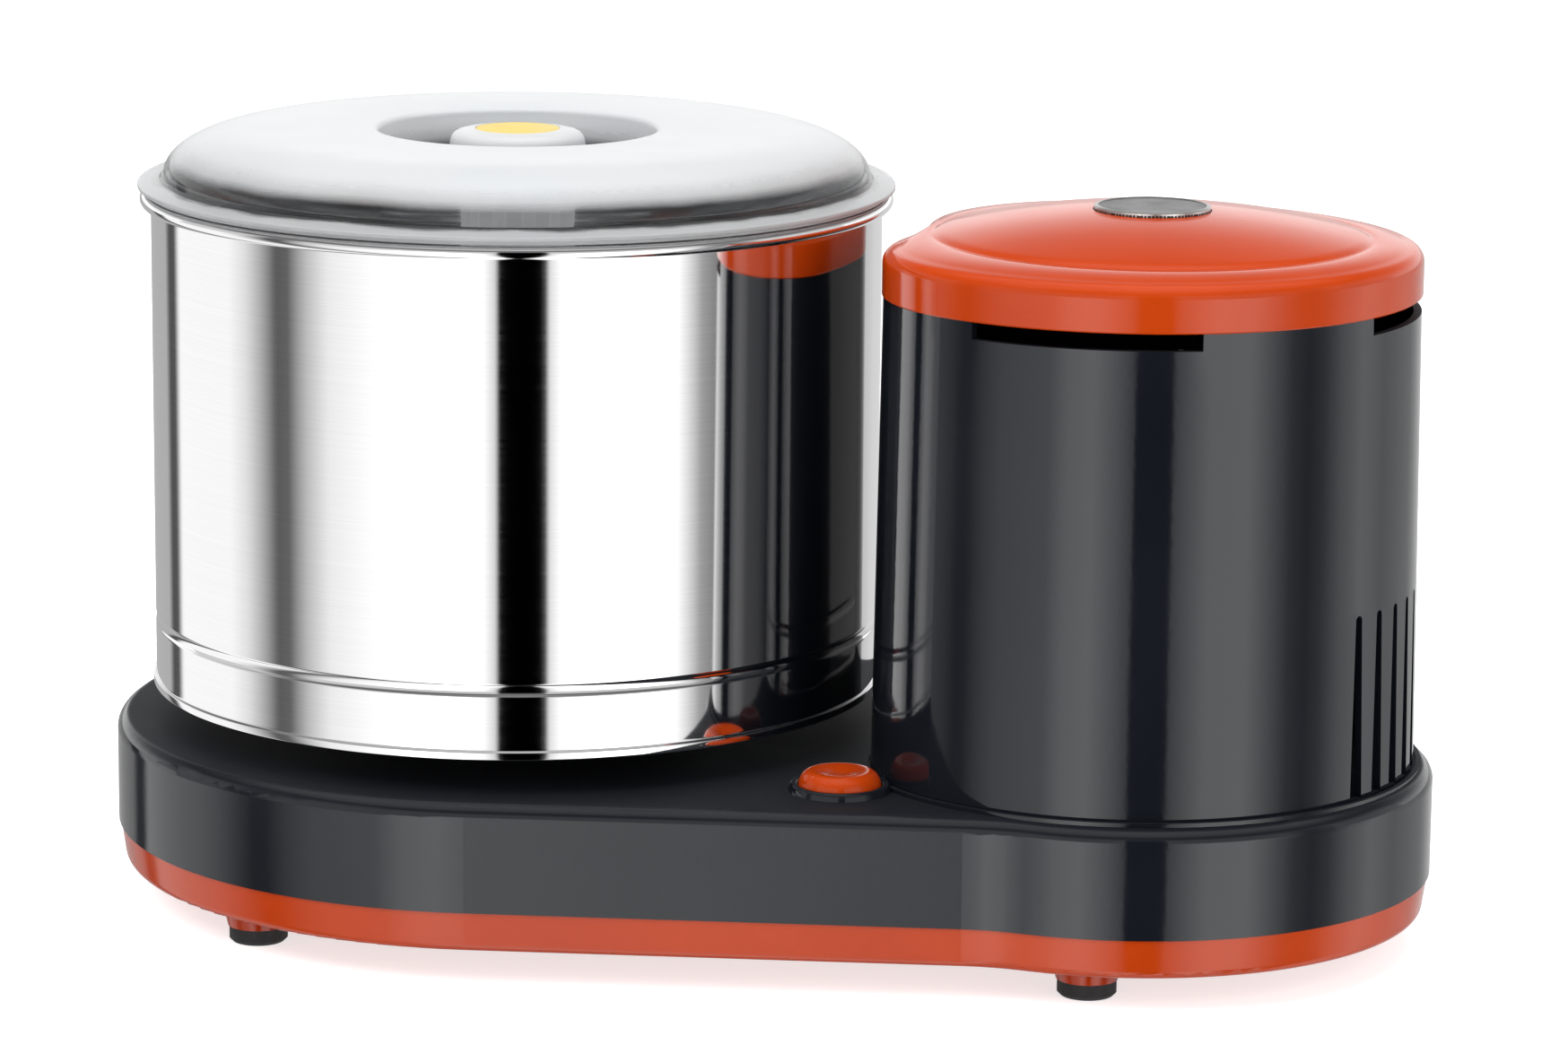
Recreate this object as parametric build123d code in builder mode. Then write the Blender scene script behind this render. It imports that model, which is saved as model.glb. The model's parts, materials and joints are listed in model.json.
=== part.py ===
"""A table-top wet grinder in millimetres, +Z up.

A steel drum with a granite floor turns on a belt-driven hub. Two conical stones roll on that floor on a
yoke that stands still on the fixed centre shaft, and an upright motor stands in a tower on the same base.
The origin is on the table under the middle of the base, and X runs from the drum to the tower.
"""
from math import acos, asin, atan, cos, degrees, radians, sin, sqrt
import os

from build123d import *

os.makedirs("parts", exist_ok=True)

# Clearances and walls that many pieces share
seat_gap = 0.3        # between faces of pieces that move apart
fit_gap = 0.2         # round a piece that is slipped into a fixed one
running_gap = 0.05    # radial, between a shaft and what turns on it
overrun = 1.0         # how far a cutter passes the face that it leaves by

# Base plan: a large lobe under the drum, a small one under the tower, straight waists between
drum_lobe_rim = 12.3      # how far the base passes the drum's wall
tower_lobe_rim = 8.0      # how far the base passes the tower
waist_in = 7.0            # how far inside the tower lobe the straight waist line would pass
waist_fillet_r = 60.0

# Base heights and walls
foot_h = 5.0
foot_boss_h = 5.5
tray_h = 12.5
shell_h = 33.0
shell_wall = 2.5
shell_edge_r = 4.5
deck_t = 2.6
tray_inset = 0.6
tray_wall = 3.4
tray_floor_t = 2.2
tray_edge_r = 3.0
tray_taper = 8.0          # degrees

# Tower plan: a round wall whose side towards the drum is hollowed round the drum axis
tower_r = 84.8
tower_depth = 68.5        # from the tower axis to the bottom of the hollow
tower_drum_gap = 15.0     # from the bottom of the hollow to the drum's wall
tower_corner_r = 56.0
tower_h = 144.1
tower_draft = 1.9         # how much wider the foot is than the top
tower_wall = 2.5
cap_band_h = 16.4

# Drum
drum_r = 112.5
drum_wall = 1.0
drum_gap = 10.4           # deck to the drum's lower hem
drum_h = 153.2

# Shaft, hub and belt drive
shaft_r = 7.5
bearing_r = 17.5
bearing_w = 11.0
pulley_inset = 29.8       # from the outside of the base's drum lobe to the large pulley's rim
motor_pulley_r = 10.0

# Motor
motor_side = 92.0
stack_h = 50.0
rotor_r = 25.7
motor_shaft_r = 5.0

# Grinding stones
floor_stone_t = 19.5
cone_small_r = 22.0
cone_large_r = 38.0
cone_start = 30.0         # drum axis to the near end of the line on which a cone rolls
cone_wall_gap = 11.5      # from the far end of that line to the inside of the drum

# Places and levels that follow from the sizes above
tower_hollow_r = drum_r + tower_drum_gap
axis_gap = tower_hollow_r + tower_depth
drum_lobe_r = drum_r + drum_lobe_rim
tower_lobe_r = tower_r + tower_lobe_rim
waist_r = tower_lobe_r - waist_in
drum_pulley_r = drum_lobe_r - pulley_inset
drum_bore_r = drum_r - drum_wall
cone_length = drum_bore_r - cone_start - cone_wall_gap
overall = drum_lobe_r + axis_gap + tower_lobe_r
drum_x = drum_lobe_r - overall / 2
tower_x = overall / 2 - tower_lobe_r
drum_at = Vector(drum_x, 0)
tower_at = Vector(tower_x, 0)
tray_z = foot_h + foot_boss_h
floor_z = tray_z + tray_floor_t
seam_z = tray_z + tray_h
deck_z = seam_z + shell_h
under_deck_z = deck_z - deck_t
hem_z = deck_z + drum_gap
rim_z = hem_z + drum_h
cap_z = deck_z + tower_h

up_from_base = (Align.CENTER, Align.CENTER, Align.MIN)
down_from_top = (Align.CENTER, Align.CENTER, Align.MAX)


def polar(centre, radius, angle):
    """The point at a radius and an angle in degrees from a centre."""
    return centre + Vector(radius, 0).rotate(Axis.Z, angle)


def at_level(place, level):
    """A plan point lifted to a level."""
    return Vector(place.X, place.Y, level)


def upright(x):
    """A plane through the upright axis at x, whose own x is the radius and own y the height."""
    return Plane((x, 0, 0), x_dir=(1, 0, 0), z_dir=(0, -1, 0))


def upright_axis(x):
    """The upright axis at x."""
    return Axis((x, 0, 0), (0, 0, 1))


def radial_plane(x, angle):
    """A plane from the upright axis at x outwards at an angle, whose own x is the radius."""
    turn_by = radians(angle)
    return Plane((x, 0, 0), x_dir=(cos(turn_by), sin(turn_by), 0), z_dir=(sin(turn_by), -cos(turn_by), 0))


def ring_section(inner, outer, low, high, mode=Mode.ADD):
    """A rectangle between two radii and two heights, in the current upright sketch."""
    with Locations(((inner + outer) / 2, (low + high) / 2)):
        Rectangle(outer - inner, high - low, mode=mode)


def turned(x, *rings, mode=Mode.ADD):
    """Turn rings, each an inner radius, an outer radius and two heights, about the upright axis at x."""
    with BuildSketch(upright(x)) as section:
        for inner, outer, low, high in rings:
            ring_section(inner, outer, low, high)
    revolve(section.sketch, upright_axis(x), mode=mode)


def post(radius, low, high, mode=Mode.ADD):
    """An upright round post between two levels, at the current locations."""
    with Locations((0, 0, low)):
        Cylinder(radius, high - low, align=up_from_base, mode=mode)


def hole(radius, low, high):
    """An upright round hole between two levels, at the current locations."""
    post(radius, low, high, mode=Mode.SUBTRACT)


# Screws of three sizes, each with its shank radius, head radius and head height
small_shank_r = 1.6
small_head_r = 3.0
small_head_h = 1.8
wood_shank_r = 2.0
wood_head_r = 3.6
wood_head_h = 2.4
machine_shank_r = 2.4
machine_head_r = 4.2
machine_head_h = 3.0
small_screw = (small_shank_r, small_head_r, small_head_h)
wood_screw = (wood_shank_r, wood_head_r, wood_head_h)
machine_screw = (machine_shank_r, machine_head_r, machine_head_h)


def screw_up(size, seat, length):
    """A screw put in from below: its head hangs under the seat and its shank goes up."""
    shank_r, head_r, head_h = size
    post(shank_r, seat, seat + length)
    post(head_r, seat - head_h, seat)


def screw_down(size, seat, length):
    """A screw put in from above: its head stands on the seat and its shank goes down."""
    shank_r, head_r, head_h = size
    post(shank_r, seat - length, seat)
    post(head_r, seat, seat + head_h)


def base_plan(grow, mode=Mode.ADD):
    """The base outline, grown outwards by a margin, in the current sketch."""
    lean = asin((drum_lobe_r - waist_r) / axis_gap)
    along = Vector(cos(lean), sin(lean))
    outward = Vector(sin(lean), -cos(lean))
    hollow_r = waist_fillet_r - grow
    reach = tower_lobe_r + waist_fillet_r
    offset_out = waist_r + waist_fillet_r
    centre = tower_at - along * sqrt(reach**2 - offset_out**2) + outward * offset_out
    start = drum_at + outward * (drum_lobe_r + grow)
    line_end = centre - outward * hollow_r
    lobe_start = tower_at + (centre - tower_at).normalized() * (tower_lobe_r + grow)
    bend = centre + ((line_end - centre) + (lobe_start - centre)).normalized() * hollow_r
    nose = tower_at + Vector(tower_lobe_r + grow, 0)
    tail = drum_at - Vector(drum_lobe_r + grow, 0)

    def rear(point):
        return Vector(point.X, -point.Y)

    with BuildLine() as outline:
        Line(start, line_end)
        ThreePointArc(line_end, bend, lobe_start)
        ThreePointArc(lobe_start, nose, rear(lobe_start))
        ThreePointArc(rear(lobe_start), rear(bend), rear(line_end))
        Line(rear(line_end), rear(start))
        ThreePointArc(rear(start), tail, start)
    make_face(outline.edges(), mode=mode)


def tower_plan(grow, mode=Mode.ADD):
    """The tower outline, grown outwards by a margin: a circle hollowed round the drum axis."""
    near = tower_r - tower_corner_r
    far = tower_hollow_r + tower_corner_r
    along = (axis_gap**2 + far**2 - near**2) / (2 * axis_gap)
    corner = drum_at + Vector(along, -sqrt(far**2 - along**2))
    from_tower = (corner - tower_at).normalized()
    to_drum = (drum_at - corner).normalized()
    corner_r = tower_corner_r + grow
    round_end = tower_at + from_tower * (tower_r + grow)
    hollow_start = corner + to_drum * corner_r
    bend = corner + (from_tower + to_drum).normalized() * corner_r
    nose = tower_at + Vector(tower_r + grow, 0)
    hollow_middle = drum_at + Vector(tower_hollow_r - grow, 0)

    def rear(point):
        return Vector(point.X, -point.Y)

    with BuildLine() as outline:
        ThreePointArc(round_end, nose, rear(round_end))
        ThreePointArc(rear(round_end), rear(bend), rear(hollow_start))
        ThreePointArc(rear(hollow_start), hollow_middle, hollow_start)
        ThreePointArc(hollow_start, bend, round_end)
    make_face(outline.edges(), mode=mode)


def save(builder, name):
    """Label a finished sub-part and write it."""
    builder.part.label = name
    export_step(builder.part, f"parts/{name}.step")


# Feet, two under each lobe, each in a recess of a tapered boss
foot_r = 8.85
foot_edge = 1.0
foot_recess_h = 2.6
foot_boss_r = 10.6
foot_boss_draft = 1.3
foot_screw_grip = 8.0
drum_foot_inset = 19.8    # from the outside of the drum lobe to a foot
drum_foot_angle = 119.5
tower_foot_inset = 22.8   # from the outside of the tower lobe to a foot
tower_foot_angle = 86.0
foot_places = [polar(drum_at, drum_lobe_r - drum_foot_inset, side * drum_foot_angle) for side in (-1, 1)]
foot_places += [polar(tower_at, tower_lobe_r - tower_foot_inset, side * tower_foot_angle) for side in (-1, 1)]

# Tray screws go up through posts in the tray into bosses under the deck
tray_post_r = 5.4
tray_screw_floor = 4.5
tray_screw_grip = 16.0
drum_screw_inset = 13.3   # from the outside of the drum lobe to a tray screw
drum_screw_angles = (-150, -82, 82, 150)
tower_screw_inset = 13.8  # from the outside of the tower lobe to a tray screw
tower_screw_angles = (-35, 35)
tray_screw_seat = seam_z - tray_screw_floor
tray_screw_places = [polar(drum_at, drum_lobe_r - drum_screw_inset, angle) for angle in drum_screw_angles]
tower_screw_r = tower_lobe_r - tower_screw_inset
tray_screw_places += [polar(tower_at, tower_screw_r, angle) for angle in tower_screw_angles]

# Shaft seat: a raised pad in the tray under a cast flange
pad_r = 40.0
pad_h = 3.0
flange_r = 36.0
flange_t = 5.0
flange_boss_r = 14.0
flange_boss_h = 2.3
flange_screw_ring_r = 27.0
flange_screw_grip = 9.0
flange_screws = 3
pad_z = floor_z + pad_h
flange_z = pad_z + flange_t
shaft_seat_z = flange_z + flange_boss_h

# Air slots in the tray under the motor
air_slot_w = 4.0
air_slot_l = 56.0
air_slot_pitch = 9.5
air_slots = 7
tray_lip_h = 3.0

with BuildPart() as base_tray:
    with BuildSketch(Plane.XY.offset(seam_z)):
        base_plan(-tray_inset)
    extrude(amount=-tray_h, taper=tray_taper)
    fillet(base_tray.edges().group_by(Axis.Z)[0], tray_edge_r)
    with BuildSketch(Plane.XY.offset(seam_z)):
        base_plan(-tray_inset - tray_wall)
    extrude(amount=-(tray_h - tray_floor_t), taper=tray_taper, mode=Mode.SUBTRACT)
    with BuildSketch(Plane.XY.offset(seam_z)):
        base_plan(-shell_wall - fit_gap)
        base_plan(-tray_inset - tray_wall, mode=Mode.SUBTRACT)
    extrude(amount=tray_lip_h)
    with Locations(drum_at):
        post(pad_r, floor_z, pad_z)
    with Locations(*tray_screw_places):
        post(tray_post_r, floor_z, seam_z)
    with Locations(*[at_level(place, foot_h) for place in foot_places]):
        Cone(foot_boss_r - foot_boss_draft, foot_boss_r, foot_boss_h, align=up_from_base)
    with BuildSketch(Plane.XY.offset(tray_z)):
        with Locations(tower_at):
            with GridLocations(air_slot_pitch, 0, air_slots, 1):
                SlotOverall(air_slot_l, air_slot_w, rotation=90)
    extrude(amount=tray_floor_t, mode=Mode.SUBTRACT)
    with Locations(*tray_screw_places):
        hole(wood_head_r + fit_gap, tray_z, tray_screw_seat)
        hole(wood_shank_r, tray_screw_seat, seam_z)
    with Locations(*foot_places):
        hole(wood_shank_r, foot_h, foot_recess_h + foot_screw_grip)
    with Locations(drum_at):
        with PolarLocations(flange_screw_ring_r, flange_screws, start_angle=90):
            hole(wood_shank_r, flange_z - flange_screw_grip, pad_z)
save(base_tray, "base_tray")

with BuildPart() as rubber_feet:
    with Locations(*foot_places):
        post(foot_r, 0, foot_h)
    chamfer(rubber_feet.edges().group_by(Axis.Z)[0], foot_edge)
    with Locations(*foot_places):
        hole(wood_head_r + fit_gap, 0, foot_recess_h)
        hole(wood_shank_r, foot_recess_h, foot_h)
save(rubber_feet, "rubber_feet")

with BuildPart() as foot_screws:
    with Locations(*foot_places):
        screw_up(wood_screw, foot_recess_h, foot_screw_grip)
save(foot_screws, "foot_screws")

with BuildPart() as tray_screws:
    with Locations(*tray_screw_places):
        screw_up(wood_screw, tray_screw_seat, tray_screw_grip)
save(tray_screws, "tray_screws")

# Button and its place on the deck
button_r = 12.4
button_proud = 6.0
button_skirt = 6.0        # below the deck
button_dish = 1.0
button_edge_r = 1.2
button_travel = 3.0
collar_flange_w = 1.9
collar_wall = 1.4
collar_h = 1.6
collar_depth = 11.7
button_off = 15.4         # from the tower's wall to the middle of the button
button_angle = -135.28    # degrees, round the tower axis
button_at = polar(tower_at, tower_r + button_off, button_angle)
collar_bore_r = button_r + seat_gap
collar_r = collar_bore_r + collar_wall

# Openings, ribs and bosses of the base shell
hub_r = 23.0
hub_opening_gap = 2.0
deck_ring_w = 2.5
deck_ring_h = 2.0
shell_ribs = 8
shell_rib_t = 2.0
shell_rib_h = 7.0
shell_rib_end = 6.0       # from the end of a rib to the outside of the shell
shell_boss_r = 5.0
lip_gap = 0.8             # between the tower's foot and the raised lip round it
lip_w = 1.5
lip_h = 1.2
motor_hole_r = 12.0
motor_boss_r = 6.0
motor_boss_rise = 4.0
motor_boss_drop = 7.4
bolt_inset = 8.0          # from the side of the stator to a bolt
capacitor_gap = 3.0       # from the stator to the capacitor
capacitor_wall_gap = 3.3  # from the capacitor to the tower's wall
capacitor_h = 55.0
capacitor_cup_w = 2.0
capacitor_cup_h = 8.0
tower_boss_r = 5.0
tower_boss_bury = 1.5     # how far a boss sinks into the tower wall
tower_boss_h = 24.0
tower_boss_angles = (-112, -45, 45, 112)
tower_screw_grip = 17.0
gland_flange_r = 8.0
gland_flange_t = 2.4
gland_r = 5.8
gland_bore_r = 3.6
gland_z = (seam_z + deck_z) / 2
hub_opening_r = hub_r + hub_opening_gap
deck_ring_r = hub_opening_r + deck_ring_w
bolt_reach = motor_side / 2 - bolt_inset
motor_foot_z = deck_z + motor_boss_rise
capacitor_r = (tower_r - tower_wall - motor_side / 2 - capacitor_gap - capacitor_wall_gap) / 2
capacitor_at = tower_at + Vector(0, motor_side / 2 + capacitor_gap + capacitor_r)
tower_boss_reach = tower_r + tower_draft - tower_wall + tower_boss_bury - tower_boss_r
collar_flange_r = collar_bore_r + collar_flange_w
tower_screw_places = [polar(tower_at, tower_boss_reach, angle) for angle in tower_boss_angles]

with BuildPart() as base_shell:
    with BuildSketch(Plane.XY.offset(seam_z)):
        base_plan(0)
    extrude(amount=shell_h)
    fillet(base_shell.edges().group_by(Axis.Z)[-1], shell_edge_r)
    with BuildSketch(Plane.XY.offset(seam_z)):
        base_plan(-shell_wall)
    extrude(amount=shell_h - deck_t, mode=Mode.SUBTRACT)
    with BuildSketch(Plane.XY.offset(under_deck_z)):
        with Locations(drum_at):
            with PolarLocations(0, shell_ribs, start_angle=180 / shell_ribs):
                with Locations(((drum_lobe_r - shell_rib_end) / 2, 0)):
                    Rectangle(drum_lobe_r - shell_rib_end, shell_rib_t)
    extrude(amount=-shell_rib_h)
    turned(drum_x, (hub_opening_r, deck_ring_r, under_deck_z - shell_rib_h, deck_z + deck_ring_h))
    with Locations(drum_at):
        hole(hub_opening_r, under_deck_z - shell_rib_h, deck_z + deck_ring_h)
    with Locations(*tray_screw_places):
        post(shell_boss_r, seam_z, under_deck_z)
    with BuildSketch(Plane.XY.offset(deck_z)):
        tower_plan(tower_draft + lip_gap + lip_w)
        tower_plan(tower_draft + lip_gap, mode=Mode.SUBTRACT)
    extrude(amount=lip_h)
    with Locations(tower_at):
        with GridLocations(2 * bolt_reach, 2 * bolt_reach, 2, 2):
            post(motor_boss_r, under_deck_z - motor_boss_drop, motor_foot_z)
    with Locations(capacitor_at):
        post(capacitor_r + fit_gap + capacitor_cup_w, deck_z, deck_z + capacitor_cup_h)
        hole(capacitor_r + fit_gap, deck_z, deck_z + capacitor_cup_h)
    with Locations(*tray_screw_places):
        hole(wood_shank_r, seam_z, tray_screw_seat + tray_screw_grip)
    with Locations(*tower_screw_places):
        hole(wood_shank_r, under_deck_z, deck_z)
    with Locations(tower_at):
        hole(motor_hole_r, under_deck_z, deck_z)
        with GridLocations(2 * bolt_reach, 2 * bolt_reach, 2, 2):
            hole(machine_shank_r, under_deck_z - motor_boss_drop, motor_foot_z)
    with Locations(button_at):
        hole(collar_r + fit_gap, under_deck_z, deck_z)
        hole(collar_flange_r + fit_gap, deck_z, deck_z + lip_h)
    with Locations(Plane((tower_x, 0, gland_z), x_dir=(1, 0, 0), z_dir=(0, 1, 0))):
        Cylinder(gland_r + fit_gap, tower_lobe_r + overrun, align=up_from_base, mode=Mode.SUBTRACT)
save(base_shell, "base_shell")

# Tower wall: slots on its outer side, and three shallow air gaps under the cap
slot_count = 8
slot_pitch = 7.2          # degrees
slot_middle = -1.2        # degrees
slot_rise = 1.4
slot_h = 55.1
slot_top_w = 2.9
slot_foot_w = 5.5
air_gap_h = 5.0
air_gap_arc = 47.0        # degrees
air_gap_angle = 88.0      # degrees, from one gap to the next
air_gap_angles = (-air_gap_angle, 0, air_gap_angle)
tower_taper = degrees(atan(tower_draft / tower_h))


def fan_cutter(x, angle, arc, reach):
    """A wedge in the current sketch, from the upright axis at x, that spans an arc about an angle."""
    half = arc / 2
    with BuildLine() as outline:
        Line(Vector(x, 0), polar(Vector(x, 0), reach, angle - half))
        Line(polar(Vector(x, 0), reach, angle - half), polar(Vector(x, 0), reach, angle + half))
        Line(polar(Vector(x, 0), reach, angle + half), Vector(x, 0))
    make_face(outline.edges())


with BuildPart() as tower_shell:
    with BuildSketch(Plane.XY.offset(deck_z)):
        tower_plan(tower_draft)
    extrude(amount=tower_h, taper=tower_taper)
    with BuildSketch(Plane.XY.offset(deck_z)):
        tower_plan(tower_draft - tower_wall)
    extrude(amount=tower_h, taper=tower_taper, mode=Mode.SUBTRACT)
    with Locations(*tower_screw_places):
        post(tower_boss_r, deck_z, deck_z + tower_boss_h)
        hole(wood_shank_r, deck_z, under_deck_z + tower_screw_grip)
    with BuildSketch(Plane.XY.offset(cap_z)):
        for angle in air_gap_angles:
            fan_cutter(tower_x, angle, air_gap_arc, 2 * tower_r)
    extrude(amount=-air_gap_h, mode=Mode.SUBTRACT)
    for index in range(slot_count):
        slot_angle = slot_middle + (index - (slot_count - 1) / 2) * slot_pitch
        face_out = Vector(1, 0).rotate(Axis.Z, slot_angle)
        along_wall = Vector(0, 1).rotate(Axis.Z, slot_angle)
        slot_start = at_level(tower_at + face_out * (tower_r - tower_boss_reach / 2), deck_z + slot_rise)
        with BuildSketch(Plane(slot_start, x_dir=along_wall, z_dir=face_out)):
            with BuildLine():
                Line((-slot_foot_w / 2, 0), (slot_foot_w / 2, 0))
                Line((slot_foot_w / 2, 0), (slot_top_w / 2, slot_h - slot_top_w / 2))
                ThreePointArc(
                    (slot_top_w / 2, slot_h - slot_top_w / 2),
                    (0, slot_h),
                    (-slot_top_w / 2, slot_h - slot_top_w / 2),
                )
                Line((-slot_top_w / 2, slot_h - slot_top_w / 2), (-slot_foot_w / 2, 0))
            make_face()
        extrude(amount=tower_r, mode=Mode.SUBTRACT)
save(tower_shell, "tower_shell")

with BuildPart() as tower_screws:
    with Locations(*tower_screw_places):
        screw_up(wood_screw, under_deck_z, tower_screw_grip)
save(tower_screws, "tower_screws")

# Cap: a band with a rounded edge, a flat rim, a soft channel and a shallow dome
cap_grow = 0.4
cap_wall = 2.4
cap_edge_r = 3.2
cap_dome_r = 66.0
cap_dome_h = 7.6
cap_dome_shift = 4.0
cap_channel_r = 1.6
cap_lip_h = 6.0
badge_r = 17.5
badge_t = 2.0
badge_seat_drop = 1.4
cap_rim_z = cap_z + cap_band_h
cap_ceiling_z = cap_rim_z - cap_wall - cap_channel_r
cap_top_z = cap_rim_z + cap_dome_h
dome_x = tower_x + cap_dome_shift
dome_sphere_r = (cap_dome_r**2 + cap_dome_h**2) / (2 * cap_dome_h)
badge_seat_z = cap_top_z - badge_seat_drop


def dome_section(sphere_r, centre_z, low):
    """Half of a dome above a level, in the current upright sketch."""
    foot_r_here = sqrt(sphere_r**2 - (low - centre_z) ** 2)
    half_angle = asin(foot_r_here / sphere_r) / 2
    with BuildLine() as outline:
        Line((0, low), (foot_r_here, low))
        ThreePointArc(
            (foot_r_here, low),
            (sphere_r * sin(half_angle), centre_z + sphere_r * cos(half_angle)),
            (0, centre_z + sphere_r),
        )
        Line((0, centre_z + sphere_r), (0, low))
    make_face(outline.edges())


with BuildPart() as tower_cap:
    with BuildSketch(Plane.XY.offset(cap_z)):
        tower_plan(cap_grow)
    extrude(amount=cap_band_h)
    fillet(tower_cap.edges().group_by(Axis.Z)[-1], cap_edge_r)
    with BuildSketch(upright(dome_x)):
        dome_section(dome_sphere_r, cap_top_z - dome_sphere_r, cap_rim_z)
    revolve(axis=upright_axis(dome_x))
    with BuildSketch(upright(dome_x)):
        with Locations((cap_dome_r, cap_rim_z)):
            Circle(cap_channel_r)
    revolve(axis=upright_axis(dome_x), mode=Mode.SUBTRACT)
    with BuildSketch(Plane.XY.offset(cap_z)):
        tower_plan(cap_grow - cap_wall)
    extrude(amount=cap_ceiling_z - cap_z, mode=Mode.SUBTRACT)
    with BuildSketch(upright(dome_x)):
        dome_section(dome_sphere_r - cap_wall, cap_top_z - dome_sphere_r, cap_ceiling_z)
    revolve(axis=upright_axis(dome_x), mode=Mode.SUBTRACT)
    with Locations((dome_x, 0)):
        hole(badge_r + fit_gap, badge_seat_z, cap_top_z + overrun)
    with BuildSketch(Plane.XY.offset(cap_z - cap_lip_h)):
        tower_plan(-tower_wall - fit_gap)
        tower_plan(-tower_wall - fit_gap - cap_wall, mode=Mode.SUBTRACT)
    extrude(amount=cap_lip_h + cap_wall)
    with BuildSketch(Plane.XY.offset(cap_z)):
        tower_plan(cap_grow - cap_wall / 2)
        tower_plan(-tower_wall - fit_gap - cap_wall, mode=Mode.SUBTRACT)
    extrude(amount=cap_wall)
    with BuildSketch(Plane.XY.offset(cap_z)):
        for angle in air_gap_angles:
            fan_cutter(tower_x, angle, air_gap_arc, 2 * tower_r)
    extrude(amount=-cap_lip_h, mode=Mode.SUBTRACT)
save(tower_cap, "tower_cap")

with BuildPart() as cap_badge:
    with Locations((dome_x, 0)):
        post(badge_r, badge_seat_z, badge_seat_z + badge_t)
    fillet(cap_badge.edges().group_by(Axis.Z)[-1], badge_t / 3)
save(cap_badge, "cap_badge")

# Shaft seat, shaft and what stays on it
shaft_rise = 134.0
hex_from = 82.0
clip_t = 1.1
clip_w = 2.5
clip_groove = 0.5
clip_opening = 8.0
hex_r = shaft_r
shaft_top_z = pad_z + shaft_rise
hex_z = pad_z + hex_from

with BuildPart() as shaft_base:
    turned(
        drum_x,
        (shaft_r, flange_r, pad_z, flange_z),
        (shaft_r, flange_boss_r, flange_z, shaft_seat_z),
    )
    with Locations(drum_at):
        with PolarLocations(flange_screw_ring_r, flange_screws, start_angle=90):
            hole(wood_shank_r, pad_z, flange_z)
save(shaft_base, "shaft_base")

with BuildPart() as shaft_base_screws:
    with Locations(drum_at):
        with PolarLocations(flange_screw_ring_r, flange_screws, start_angle=90):
            screw_down(wood_screw, flange_z, flange_screw_grip)
save(shaft_base_screws, "shaft_base_screws")

# Hub levels, from the clip under it upwards
bearing_space = 7.0
bearing_shoulder = 3.5
hub_disc_r = 44.0
hub_disc_t = 4.0
hub_disc_gap = 0.5
web_rise = 2.6
web_t = 3.0
hub_flange_t = 4.0
hub_flange_r = 32.0
hub_screws = 6
hub_screw_ring_r = 27.8
peg_r = 4.0
peg_h = 6.0
peg_ring_r = 32.0
pegs = 3
seal_t = 3.4
seal_lip = 1.2
hub_low_z = shaft_seat_z + clip_t + seat_gap
hub_mid_z = hub_low_z + bearing_w
upper_bearing_z = hub_mid_z + bearing_space
bearing_top_z = upper_bearing_z + bearing_w
disc_z = deck_z + deck_ring_h + hub_disc_gap
disc_top_z = disc_z + hub_disc_t
web_z = hub_low_z + web_rise
hub_flange_z = web_z + web_t
belt_z = web_z + web_t / 2
clip_levels = (shaft_seat_z, bearing_top_z + seal_lip / 4)

with BuildPart() as centre_shaft:
    with Locations(drum_at):
        post(shaft_r, pad_z, hex_z)
    with BuildSketch(Plane.XY.offset(hex_z)):
        with Locations(drum_at):
            RegularPolygon(hex_r, 6)
    extrude(amount=shaft_top_z - hex_z)
    for level in clip_levels:
        turned(
            drum_x,
            (shaft_r - clip_groove, shaft_r + overrun, level, level + clip_t),
            mode=Mode.SUBTRACT,
        )
save(centre_shaft, "centre_shaft")

with BuildPart() as shaft_circlips:
    for level in clip_levels:
        turned(drum_x, (shaft_r - clip_groove, shaft_r + clip_w, level, level + clip_t))
        with Locations((drum_x, -shaft_r, level)):
            Box(clip_opening, 2 * clip_w, clip_t, align=up_from_base, mode=Mode.SUBTRACT)
save(shaft_circlips, "shaft_circlips")

with BuildPart() as drive_hub:
    turned(
        drum_x,
        (bearing_r - bearing_shoulder, hub_r, hub_low_z, disc_z),
        (bearing_r - bearing_shoulder, hub_disc_r, disc_z, disc_top_z),
        (hub_r, hub_flange_r, hub_flange_z, hub_flange_z + hub_flange_t),
    )
    with Locations(drum_at):
        hole(bearing_r, hub_low_z, hub_mid_z)
        hole(bearing_r, upper_bearing_z, disc_top_z)
        with PolarLocations(peg_ring_r, pegs):
            post(peg_r, disc_top_z, disc_top_z + peg_h)
        with PolarLocations(hub_screw_ring_r, hub_screws):
            hole(small_shank_r, hub_flange_z, hub_flange_z + hub_flange_t)
    chamfer(drive_hub.edges().group_by(Axis.Z)[-1], peg_r / 4)
save(drive_hub, "drive_hub")


def bearing(x, bore, outer, low, width, race_share=0.22, recess_share=0.08):
    """A shielded ball bearing as one ring, with its shields set back between the two races."""
    race = (outer - bore) * race_share
    recess = width * recess_share
    turned(
        x,
        (bore, bore + race, low, low + width),
        (outer - race, outer, low, low + width),
        (bore, outer, low + recess, low + width - recess),
    )


with BuildPart() as hub_bearings:
    bearing(drum_x, shaft_r + running_gap, bearing_r, hub_low_z, bearing_w)
    bearing(drum_x, shaft_r + running_gap, bearing_r, upper_bearing_z, bearing_w)
save(hub_bearings, "hub_bearings")

with BuildPart() as hub_seal:
    turned(
        drum_x,
        (shaft_r + running_gap, bearing_r, disc_top_z - seal_t, disc_top_z - seal_t + seal_lip),
        (bearing_r - 2 * seal_lip, bearing_r, disc_top_z - seal_t, disc_top_z - running_gap),
        (shaft_r + running_gap, shaft_r + 2 * seal_lip, disc_top_z - seal_t, disc_top_z - seal_lip),
    )
save(hub_seal, "hub_seal")

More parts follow.
